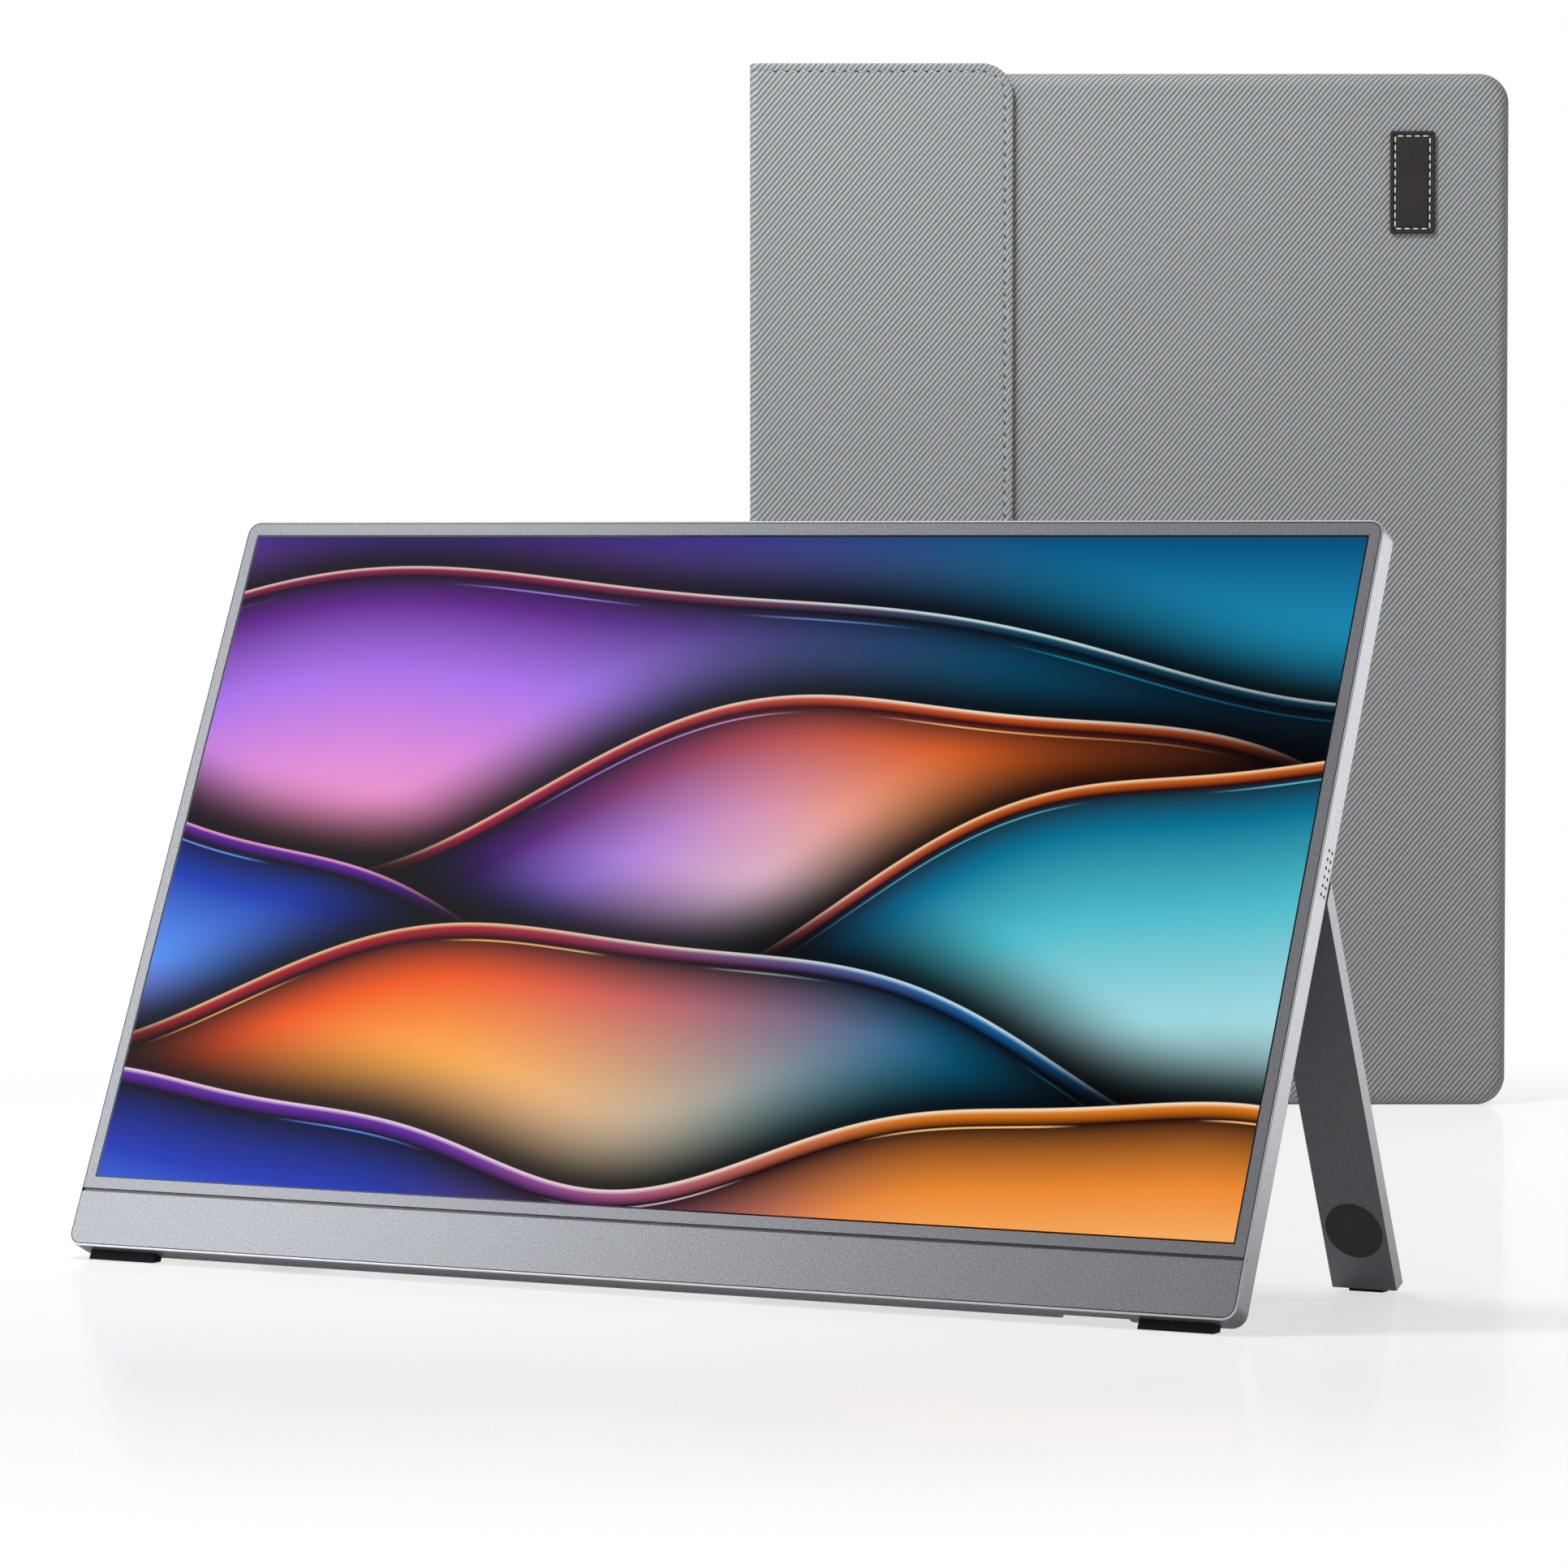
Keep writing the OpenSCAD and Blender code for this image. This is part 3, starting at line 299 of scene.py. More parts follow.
def pocket_skin(inset, x_stops, bulge):
    """Skin of the pocket, drawn in by inset. Rows run from the mouth to the closed end, and
    columns go round: front, upper edge, back, lower edge. The depth follows the way in from
    the outline, d: it drops from the face by a quarter circle, edge - sqrt(edge^2 -
    (edge - d)^2), and both faces sag between the edges by two soft waves. The back reaches
    further than the front, down to its last 2 mm at both sides."""
    steps = 4  # points across the edge, between the front and the back
    s = bpy.context.scene.sleeve_sizes
    half, end = s.height / 2 - inset, s.width - inset
    radius, edge = s.corner - inset, s.edge - inset
    z = mirrored(half, 0, 8, 0.0022, 7, 0.006, 5, 0.012, 60, half)
    wall = np.linspace(0, 1, steps + 2)[1:-1]
    column_z = np.concatenate([z, np.full(steps, half), z[::-1], np.full(steps, -half), z[:1]])
    column_w = np.concatenate([0 * z, wall, 0 * z + 1, wall[::-1], [0.0]])
    from_side = half - np.abs(column_z)
    back = smooth((from_side - 0.0002) / 0.0016) * (column_w == 1)
    mouth = s.mouth - (s.mouth - s.neck) * back
    t = x_stops[:, None]
    x = mouth + (end - mouth) * t
    x, zz, d, nx, nz = round_corners(x, column_z + 0 * x, end, half, radius)
    drop = edge - np.sqrt(np.maximum(edge ** 2 - np.maximum(edge - d, 0) ** 2, 0))
    wave = 0.5 + 0.3 * np.sin(33 * x + 0.6) * np.sin(23 * zz + 1.9) + 0.2 * np.sin(
        76 * x - 20 * zz)
    drop = drop + s.sag * wave * smooth(d / 0.03)
    y = (inset + drop) * (1 - column_w) + (s.thick - inset - drop) * column_w
    low, high, middle = s.edge, s.thick - s.edge, s.thick / 2
    k = np.arange(1, steps + 1)[:, None] / steps
    y_end = np.clip(y[-1:], low + (middle - low) * k, high - (high - middle) * k)
    x, zz, nx, nz = (np.concatenate([a, np.repeat(a[-1:], steps, axis=0)])
                     for a in (x, zz, nx, nz))
    d = np.concatenate([d, np.zeros_like(y_end)])
    y = np.concatenate([y, y_end])
    puff = bulge * np.sin(math.pi * np.clip((y - low) / (high - low), 0, 1)) * (d < 1e-5)
    p = np.stack([x + nx * puff, y, zz + s.height / 2 + np.maximum(nz, 0) * puff], axis=2)
    u = lengths(p, 0) + mouth
    v = lengths(p, 1)
    v = v - v[:, [len(z) // 2]]
    return p, np.stack([u, v], axis=2)


def pocket(outer, inner, x_stops, bulge=0.0):
    """A closed cup: the inner skin from the closed end to the mouth, over the rounded rim, and
    the outer skin back to the closed end. The skins are drawn in by inner and by outer."""
    p0, uv0 = pocket_skin(inner, x_stops, 0.0)
    p1, uv1 = pocket_skin(outer, x_stops, bulge)
    rim = (p0[:1] + p1[:1]) / 2 - [(inner - outer) / 2, 0, 0]
    near0, near1 = p0[:1] * 0.8 + rim * 0.2, p1[:1] * 0.8 + rim * 0.2
    near0[..., 0] = near1[..., 0] = p1[:1, :, 0] - (inner - outer) * 0.36
    turn = np.concatenate([near0, rim, near1])
    uv_turn = np.repeat(uv1[:1], 3, axis=0) - [0.001, 0]
    return (np.concatenate([p0[::-1], turn, p1]),
            np.concatenate([uv0[::-1], uv_turn, uv1]))


def bent_path(s, start, corner, end, radius):
    """A line, a quarter arc and a line, by the distance s along it: before the arc it moves
    along the first direction, on it by radius * (second * (1 - cos) + first * sin). Returns the
    points and the directions out of the bend."""
    start, corner, end = map(np.array, (start, corner, end))
    one = (corner - start) / np.linalg.norm(corner - start)
    two = (end - corner) / np.linalg.norm(end - corner)
    line = np.linalg.norm(corner - start) - radius
    turn = np.clip((s - line) / radius, 0, math.pi / 2)[..., None]
    before = np.minimum(s, line)[..., None]
    after = np.maximum(s - line - radius * math.pi / 2, 0)[..., None]
    point = start + one * before + two * after + radius * (
        two * (1 - np.cos(turn)) + one * np.sin(turn))
    along = one * np.cos(turn) + two * np.sin(turn)
    return point, np.stack([along[..., 1], -along[..., 0]], axis=-1)


def straight_path(s, start, direction, outward):
    """A straight line by the distance along it, with one outward direction."""
    point = np.array(start) + np.array(direction) * s[..., None]
    return point, np.broadcast_to(np.array(outward, float), point.shape)


BUTT = 0.0002  # length of the rounding at an end that meets another piece
GROOVE_HALF = 0.00045  # half width of the groove that the stitches pull in
FLAP_GROOVE = 0.00028  # its depth


def fabric_strip(s_stops, z_stops, path, high, low, edge, corner, bottom, free_end=True,
                 groove=0.0):
    """A flat pad along a path in x and y, carried along z from its bottom. Its two faces stand
    off the path by high and low, and come together at the outline by
    sqrt(1 - (1 - d / edge)^2). A stitched groove runs inside the outline, groove deep by
    exp(-((d - seam) / half width)^2). The under face's cloth lies half a metre aside."""
    total, half = s_stops[-1], z_stops[-1]
    s, z = np.meshgrid(s_stops, z_stops, indexing="ij")
    reach = total if free_end else total + 1
    s, z, d, _, _ = round_corners(s, z, reach, half, corner)
    butt = s_stops[:, None] / BUTT * edge
    if not free_end:
        butt = np.minimum(butt, (total - s_stops[:, None]) / BUTT * edge)
    swell = np.sqrt(1 - (1 - np.clip(np.minimum(d, butt) / edge, 0, 1)) ** 2)
    point, out = path(s)
    high, low = (f(s) if callable(f) else f + 0 * s for f in (high, low))
    middle, thick = (high + low) / 2, (high - low) / 2
    seam_in = bpy.context.scene.sleeve_sizes.seam_in
    seam = np.exp(-((d - seam_in) / GROOVE_HALF) ** 2)
    dent = groove * seam * smooth(butt / edge)
    top = point + out * (middle + thick * swell - dent)[..., None]
    under = point + out * (middle - thick * swell)[..., None]
    zz = (z + half + bottom)[..., None]
    uv = np.stack([s, z], axis=2)
    return [(np.concatenate([top, zz], axis=2), uv),
            (np.concatenate([under, zz], axis=2), uv * [-1, 1] + [0.5, 0])]


def flap_rows():
    """Positions along the height of the flap and the spine, finer at both ends."""
    s = bpy.context.scene.sleeve_sizes
    half = (s.flap_high - s.flap_low) / 2
    return mirrored(half, 0, 6, 0.0012, 12, 0.0045, 7, 0.0115, 60, half)


def rounded_loop(half_x, half_z, radius, per_corner, per_side):
    """A rounded rectangle walked once round: quarter circles about the corners' centres, and
    straight sides between their ends. Returns a function of the inset, which gives the same
    count of points for every inset."""
    turn = np.concatenate([np.linspace(q, q + 1, per_corner) for q in range(4)]) * math.pi / 2
    sign_x = np.repeat([1, -1, -1, 1], per_corner)
    sign_z = np.repeat([1, 1, -1, -1], per_corner)

    def loop(inset):
        r = max(radius - inset, 0.00015)
        x = sign_x * (half_x - inset - r) + r * np.cos(turn)
        z = sign_z * (half_z - inset - r) + r * np.sin(turn)
        x, z = np.append(x, x[0]), np.append(z, z[0])
        out = []
        for k in range(4):
            a, b = k * per_corner, (k + 1) * per_corner
            side = np.linspace(0, 1, per_side + 2)[1:-1]
            out += [np.stack([x[a:b], z[a:b]], 1),
                    np.stack([x[b - 1] + (x[b] - x[b - 1]) * side,
                              z[b - 1] + (z[b] - z[b - 1]) * side], 1)]
        return np.concatenate(out + [out[0][:1]])

    return loop


def raised_plate(half_x, half_z, radius, profile):
    """A plate whose height follows profile, pairs of inset and height, and which closes on its
    own middle line at both ends."""
    loop = rounded_loop(half_x, half_z, radius, per_corner=7, per_side=12)
    rings = []
    for inset, height in profile:
        ring = loop(inset)
        rings.append(np.stack([ring[:, 0], np.full(len(ring), -height), ring[:, 1]], 1))
    spine = half_z - half_x

    def closed(ring):
        flat = ring.copy()
        flat[:, 0] = 0
        flat[:, 2] = np.clip(ring[:, 2], -spine, spine)
        return flat

    p = np.stack([closed(rings[0])] + rings + [closed(rings[-1])])
    return p, p[..., [0, 2]]


def stitches(centres, along, length, width, height):
    """A row of sewn threads on the front: each is a six-sided tube bowed forwards by
    height * (0.9 - 1.9 * t^2), so that its ends dip under the cloth by as much. Its radius is
    width / 2 * sqrt(1.02 - 0.75 * t^4). Both take t from -1 to 1 along it."""
    out = np.broadcast_to((0.0, -1.0, 0.0), centres.shape)
    t = np.linspace(-1, 1, 7)
    ring = np.linspace(0, 2 * math.pi, 7)
    side = np.cross(along, out)
    across = width / 2 * np.sqrt(1.02 - 0.75 * t ** 4)
    base = (centres[:, None, :] + along[:, None, :] * (t * length / 2)[None, :, None]
            + out[:, None, :] * (height * (0.9 - 1.9 * t ** 2))[None, :, None])
    p = (base[:, :, None, :]
         + side[:, None, None, :] * (across[:, None] * np.cos(ring))[None, :, :, None]
         + out[:, None, None, :] * (across[:, None] * np.sin(ring))[None, :, :, None])
    u = np.broadcast_to((t * length / 2)[:, None], (7, 7))
    v = np.broadcast_to(ring * width / 2, (7, 7))
    uv = np.stack([u, v], axis=2)
    tips = [base[:, [k], None, :] + 0 * p[:, :1] for k in (0, -1)]
    p = np.concatenate([tips[0], p, tips[1]], axis=1)
    uv = np.concatenate([uv[:1], uv, uv[-1:]])
    return [(one, uv) for one in p]


def walk(points, pitch, offset=0.5):
    """Centres and directions at every pitch along a polyline, which is shared out evenly. The
    offset is the place of the first, in pitches."""
    near = 1e-4  # half the chord that gives the direction
    far = np.cumsum(np.insert(np.linalg.norm(np.diff(points, axis=0), axis=1), 0, 0))
    count = int(far[-1] / pitch)
    middle = (np.arange(count) + offset) * far[-1] / count

    def point(s):
        return np.stack([np.interp(s, far, points[:, k]) for k in range(3)], 1)

    along = point(middle + near) - point(middle - near)
    return point(middle), along / np.linalg.norm(along, axis=1)[:, None]


# ---- node tools ----

def feed(tree, node, sockets):
    """Links or sets a node's inputs, which are given by name or number."""
    for key, value in sockets.items():
        if isinstance(value, bpy.types.NodeSocket):
            tree.links.new(value, node.inputs[key])
        else:
            node.inputs[key].default_value = value


def put(tree, kind, sockets=None, out=0, **options):
    """Adds a shader node with its options, feeds its inputs, and returns one of its outputs,
    by name or number."""
    node = tree.nodes.new("ShaderNode" + kind)
    for key, value in options.items():
        setattr(node, key, value)
    feed(tree, node, sockets or {})
    return node.outputs[out]


def sums(tree, operation, a, b=0.0, c=0.0):
    """One step of arithmetic."""
    return put(tree, "Math", {0: a, 1: b, 2: c}, operation=operation)


def mix(tree, factor, a, b, kind="MIX"):
    """Mixes two colours."""
    return put(tree, "Mix", {0: factor, 6: a, 7: b}, out=2, data_type="RGBA", blend_type=kind)


def span(tree, value, a, b, to_a=0.0, to_b=1.0, kind="SMOOTHSTEP"):
    """Maps one range onto another."""
    return put(tree, "MapRange", {0: value, 1: a, 2: b, 3: to_a, 4: to_b},
               interpolation_type=kind)


def noise(tree, where, scale, detail, out=0, **sockets):
    """Noise of a given scale per metre. Output 1 is a colour, three noises in one."""
    return put(tree, "TexNoise", {"Vector": where, "Scale": scale, "Detail": detail, **sockets},
               out)


def ramp(tree, value, stops):
    """A colour ramp from (position, #rrggbb) pairs."""
    colour_out = put(tree, "ValToRGB", {0: value})
    row = colour_out.node.color_ramp.elements
    while len(row) < len(stops):
        row.new(0.5)
    for element, (at, code) in zip(row, stops):
        element.position, element.color = at, linear(code)
    return colour_out


def axes(tree, vector):
    """The x, y and z of a vector."""
    return put(tree, "SeparateXYZ", {0: vector}).node.outputs


def bump(tree, height, distance, strength):
    """A bump of the given depth in metres."""
    return put(tree, "Bump", {"Height": height, "Distance": distance, "Strength": strength})


def seen_by_camera(tree):
    """1 for what the camera sees straight on."""
    return put(tree, "LightPath", out="Is Camera Ray")


def seen_in_gloss(tree):
    """1 for what metal and glass show."""
    return sums(tree, "MAXIMUM", put(tree, "LightPath", out="Is Glossy Ray"),
                put(tree, "LightPath", out="Is Transmission Ray"))


def shade(rgb, factor):
    """A colour made lighter or darker, with full opacity."""
    return tuple(min(c * factor, 1.0) for c in tuple(rgb)[:3]) + (1.0,)


def new_material(name):
    """A material with a principled shader. Returns its node tree and its shader."""
    material = bpy.data.materials.new("made_" + name)
    material.use_nodes = True
    return material.node_tree, material.node_tree.nodes["Principled BSDF"]


def finish_of(name):
    """The material made under a name. The frame's own plain materials have the bare names."""
    return bpy.data.materials["made_" + name]


def wire(tree, shader, **sockets):
    """Feeds the shader's inputs, whose names are given with _ for a space."""
    feed(tree, shader, {key.replace("_", " "): value for key, value in sockets.items()})


def from_frame(tree, matrix):
    """Object coordinates read in the frame of a part, which the texture mapping undoes."""
    return put(tree, "Mapping", {"Vector": put(tree, "TexCoord", out="Object"),
                                 "Location": matrix.to_translation(),
                                 "Rotation": matrix.to_euler("XYZ")}, vector_type="TEXTURE")


# ---- materials ----

HIGHLIGHT_WAY_IN = (0.00038, 0.00056)  # the painted highlight on the rim fades out at this way in from the outline
HIGHLIGHT_DEPTH = (0.00020, 0.00040)  # and at this depth behind the front face
SEAM_SHADE_START, SEAM_SHADE_END = (0.00052, 0.00060), (0.00078, 0.00090)  # the painted shade line inside it, at the seam
FRONT_DEPTH = (0.0009, 0.0012)  # the painted shade lines fade out at this depth behind the front face


def way_in_from(tree, at, half_w, height, radius):
    """The way in from the outline of a rounded rectangle which stands on z = 0: the radius
    less the length of the part of the offset past the corner's centre."""
    past = [sums(tree, "MAXIMUM", sums(tree, "SUBTRACT", sums(
        tree, "ABSOLUTE", sums(tree, "SUBTRACT", at[axis], middle)), reach), 0.0)
        for axis, middle, reach in ((0, 0.0, half_w - radius),
                                    (2, height / 2, height / 2 - radius))]
    length = sums(tree, "SQRT", sums(tree, "MULTIPLY_ADD", past[0], past[0],
                                     sums(tree, "MULTIPLY", past[1], past[1])))
    return sums(tree, "SUBTRACT", radius, length)


def blasted_metal(name, rgb, matrix, rough=0.36, fleck=0.27, outline=None, groove=None):
    """Bead blasted metal: fine flecks of lighter and darker grain, broad soft tone and a
    dimpled surface. Outline gives the half width, the height and the corner radius of a face,
    whose slightly ragged rim gets a painted highlight, with a line of painted shade inside it at
    the seam. Groove is the height of a line of painted shade across the face, with its half
    width. Both keep to the front."""
    tree, shader = new_material(name)
    where = from_frame(tree, matrix)
    at = axes(tree, where)
    grain = noise(tree, where, 2600.0, 2.0, Roughness=0.6)
    coarse = noise(tree, where, 1300.0, 1.0)
    broad = noise(tree, where, 7.0, 2.0)
    both = sums(tree, "MULTIPLY_ADD", coarse, 0.3, sums(tree, "MULTIPLY", grain, 0.7))
    tone = mix(tree, span(tree, both, 0.36, 0.64, kind="LINEAR"),
               shade(rgb, 1 - fleck), shade(rgb, 1 + fleck))
    tone = mix(tree, span(tree, broad, 0.3, 0.7, 0.0, 0.35), tone, shade(rgb, 0.95))
    if groove:
        height, half_w = groove
        # painted shade: the groove above the chin is darkened in the colour, where shade falls in
        # it
        off = sums(tree, "ABSOLUTE", sums(tree, "SUBTRACT", at[2], height))
        groove_shade = sums(tree, "MULTIPLY", span(tree, off, half_w * 0.6, half_w, 0.75, 0.0),
                    span(tree, at[1], *FRONT_DEPTH, 1.0, 0.0))
        tone = mix(tree, groove_shade, tone, shade(rgb, 0.12))
    if outline:
        ragged = sums(tree, "MULTIPLY_ADD", sums(tree, "SUBTRACT", coarse, 0.5), 0.00004,
                      way_in_from(tree, at, *outline))
        # painted shade: a dark line inside the rim, where shade falls in the seam between the
        # parts
        seam = sums(tree, "MULTIPLY", span(tree, ragged, *SEAM_SHADE_START),
                    span(tree, ragged, *SEAM_SHADE_END, 1.0, 0.0))
        seam = sums(tree, "MULTIPLY", seam, span(tree, at[1], *FRONT_DEPTH, 0.85, 0.0))
        tone = mix(tree, seam, tone, shade(rgb, 0.2))
        # painted highlight: the rim is made near white in the colour, for the light its edge
        # catches
        rim_highlight = sums(tree, "MULTIPLY", span(tree, ragged, *HIGHLIGHT_WAY_IN, 0.9, 0.0),
                    span(tree, at[1], *HIGHLIGHT_DEPTH, 1.0, 0.0))
        tone = mix(tree, rim_highlight, tone, shade(rgb, 2.9))
    wire(tree, shader, Base_Color=tone, Metallic=0.65,
         Roughness=span(tree, grain, 0.3, 0.7, rough - 0.05, rough + 0.07, "LINEAR"),
         Normal=bump(tree, both, 0.00003, 0.25))


def plain_finish(name, rgb, rough, metallic=0.0, grain=900.0, depth=0.00003, vary=0.10,
                 stretch=(1, 1, 1), **sockets):
    """Moulded, plated or drawn surface: a grain of its own scale and stretch, which varies
    colour, roughness and height, over a broad cloudiness."""
    tree, shader = new_material(name)
    where = put(tree, "Mapping", {"Vector": put(tree, "TexCoord", out="Object"),
                                  "Scale": stretch})
    fine = noise(tree, where, grain, 3.0)
    broad = noise(tree, where, grain / 25, 2.0)
    amount = sums(tree, "MULTIPLY_ADD", broad, 0.4, sums(tree, "MULTIPLY", fine, 0.6))
    tone = mix(tree, span(tree, amount, 0.35, 0.65, kind="LINEAR"),
               shade(rgb, 1 - vary), shade(rgb, 1 + vary))
    wire(tree, shader, Base_Color=tone, Metallic=metallic,
         Roughness=span(tree, fine, 0.3, 0.7, max(rough - 0.07, 0.02), rough + 0.07, "LINEAR"),
         Normal=bump(tree, fine, depth, 0.6), **sockets)


def circuit_finish(name, rgb):
    """Board with solder resist: copper lanes seen as lighter bands in two directions, over
    fine glass weave."""
    tree, shader = new_material(name)
    where = from_frame(tree, case_frame())
    lanes = [put(tree, "TexWave", {"Vector": where, "Scale": 150.0, "Distortion": 6.0,
                                   "Detail": 0.0}, bands_direction=way) for way in "XZ"]
    lane = span(tree, sums(tree, "MAXIMUM", *lanes), 0.75, 0.85)
    weave = noise(tree, where, 2500.0, 1.0)
    tone = mix(tree, lane, shade(rgb, 0.75), shade(rgb, 1.35))
    tone = mix(tree, span(tree, weave, 0.3, 0.7, 0.0, 0.3), tone, shade(rgb, 0.6))
    wire(tree, shader, Base_Color=tone, Roughness=span(tree, weave, 0.3, 0.7, 0.3, 0.45),
         Normal=bump(tree, lane, 0.00004, 0.6))


def twill(name, rgb, pitch, slope):
    """Ribbed twill on the cloth's own coordinates. Across the ribs the height is a rounded
    comb, 1 - |sin|^4 of the distance, with narrow grooves; along them small slanted notches
    repeat, so each rib reads as a twisted cord. The height paints shade into the grooves and a
    highlight onto the crowns."""
    notch_pitch = 0.00062
    tree, shader = new_material(name)
    cloth = put(tree, "UVMap", uv_map="cloth")
    sway = noise(tree, cloth, 55.0, 2.0, out=1)
    drift = put(tree, "VectorMath", {0: sway, 1: (0.00035,) * 3}, operation="MULTIPLY")
    moved = put(tree, "VectorMath", {0: cloth, 1: drift}, operation="ADD")
    along, across, _ = axes(tree, put(tree, "Mapping", {"Vector": moved,
                                                        "Rotation": (0, 0, -slope)}))
    comb = sums(tree, "ABSOLUTE", sums(tree, "SINE", sums(
        tree, "MULTIPLY", across, math.pi / pitch)))
    rib = sums(tree, "SUBTRACT", 1.0, sums(tree, "POWER", comb, 4.0))
    slant = sums(tree, "MULTIPLY_ADD", across, 1.1, along)
    notch = sums(tree, "SINE", sums(tree, "MULTIPLY", slant, 2 * math.pi / notch_pitch))
    fuzz = noise(tree, cloth, 5200.0, 2.0)
    height = sums(tree, "MULTIPLY_ADD", notch, 0.10, rib)
    height = sums(tree, "MULTIPLY_ADD", fuzz, 0.22, height)
    # painted shade in the grooves and painted highlight on the crowns, both from the height
    tone = mix(tree, span(tree, height, 0.25, 1.15, kind="LINEAR"),
               shade(rgb, 0.40), shade(rgb, 1.16))
    cloud = noise(tree, cloth, 14.0, 3.0)
    tone = mix(tree, span(tree, cloud, 0.35, 0.75, 0.0, 0.22), tone, shade(rgb, 0.78))
    wire(tree, shader, Base_Color=tone, Sheen_Weight=0.25, Sheen_Roughness=0.4,
         Specular_IOR_Level=0.3, Roughness=span(tree, fuzz, 0.3, 0.7, 0.78, 0.92),
         Normal=bump(tree, height, 0.00028, 0.8))


def brushed_lining(name, rgb):
    """Short brushed nap, a fine noise stretched along the nap, with soft darker patches at
    random.
    """
    tree, shader = new_material(name)
    cloth = put(tree, "UVMap", uv_map="cloth")
    nap = noise(tree, put(tree, "Mapping", {"Vector": cloth, "Scale": (1, 0.25, 1)}),
                3800.0, 3.0)
    cloud = noise(tree, cloth, 40.0, 3.0)
    tone = mix(tree, span(tree, nap, 0.3, 0.7), shade(rgb, 0.7), shade(rgb, 1.3))
    tone = mix(tree, span(tree, cloud, 0.35, 0.7, 0.0, 0.3), tone, shade(rgb, 0.75))
    wire(tree, shader, Base_Color=tone, Roughness=0.95, Sheen_Weight=0.4,
         Specular_IOR_Level=0.2, Normal=bump(tree, nap, 0.0002, 0.7))


def spun_thread(name, rgb):
    """Sewing thread: slanted turns of its strands along the stitch."""
    tree, shader = new_material(name)
    turned = put(tree, "Mapping", {"Vector": put(tree, "UVMap", uv_map="cloth"),
                                   "Rotation": (0, 0, 0.6)})
    strand = put(tree, "TexWave", {"Vector": turned, "Scale": 900.0, "Distortion": 0.5})
    tone = mix(tree, strand, shade(rgb, 0.68), shade(rgb, 1.12))
    wire(tree, shader, Base_Color=tone, Roughness=0.55, Sheen_Weight=0.2,
         Normal=bump(tree, strand, 0.00005, 0.7))


WAVES = (
    # crest height, swing, pace, phase, tilt; colours down from the crest on the left and right
    (0.86, 0.10, 2.3, 0.5, 0.02,
     ((0, "#ffd0c0"), (0.012, "#8a1650"), (0.035, "#0c0114"), (0.13, "#5a1a86"),
      (0.40, "#a870ea"), (1, "#ff9cc4")),
     ((0, "#dcfcff"), (0.012, "#0d4a66"), (0.035, "#010a12"), (0.15, "#00587e"),
      (0.45, "#0a9ac2"), (1, "#9fdce4"))),
    (0.63, 0.17, 2.7, 4.4, -0.06,
     ((0, "#ffc49a"), (0.014, "#a8164e"), (0.045, "#0e0010"), (0.17, "#3a0a78"),
      (0.42, "#7c6af2"), (1, "#d49af4")),
     ((0, "#fff0cf"), (0.014, "#d0561a"), (0.040, "#200410"), (0.16, "#e0641e"),
      (0.42, "#ffa858"), (1, "#e2ead8"))),
    (0.50, 0.16, 3.3, 2.2, 0.05,
     ((0, "#ffa8dc"), (0.012, "#5a1c9c"), (0.045, "#04020c"), (0.18, "#143ab0"),
      (0.48, "#5a94fa"), (1, "#b48cf4")),
     ((0, "#ffdca4"), (0.013, "#cc5a1a"), (0.040, "#14040c"), (0.17, "#007294"),
      (0.48, "#4fbccc"), (1, "#b4e2e8"))),
    (0.29, 0.12, 2.9, 5.6, -0.03,
     ((0, "#ffc890"), (0.014, "#b02034"), (0.050, "#14020c"), (0.20, "#f05a1c"),
      (0.50, "#ffae4e"), (1, "#ffd8b0")),
     ((0, "#c8f0ff"), (0.014, "#1460a0"), (0.045, "#01060e"), (0.20, "#006c94"),
      (0.55, "#1aa4bc"), (1, "#9adada"))),
    (0.11, 0.07, 4.1, 1.4, 0.02,
     ((0, "#ffd8f4"), (0.016, "#6424a8"), (0.055, "#03010a"), (0.28, "#2038b4"),
      (0.65, "#4a8cff"), (1, "#8cb8ff")),
     ((0, "#ffecc0"), (0.016, "#e07a18"), (0.055, "#140306"), (0.28, "#ec8a30"),
      (0.65, "#ffc880"), (1, "#ffe4bc"))),
)


LIT_LAYER = 0.000045  # thickness of the layer that carries the picture
SHEET_REACH = 0.42  # depth under the crest at which a sheet's ramp ends, in picture heights
GLINT_DEPTH = 0.026  # depth of the second glint under the crest


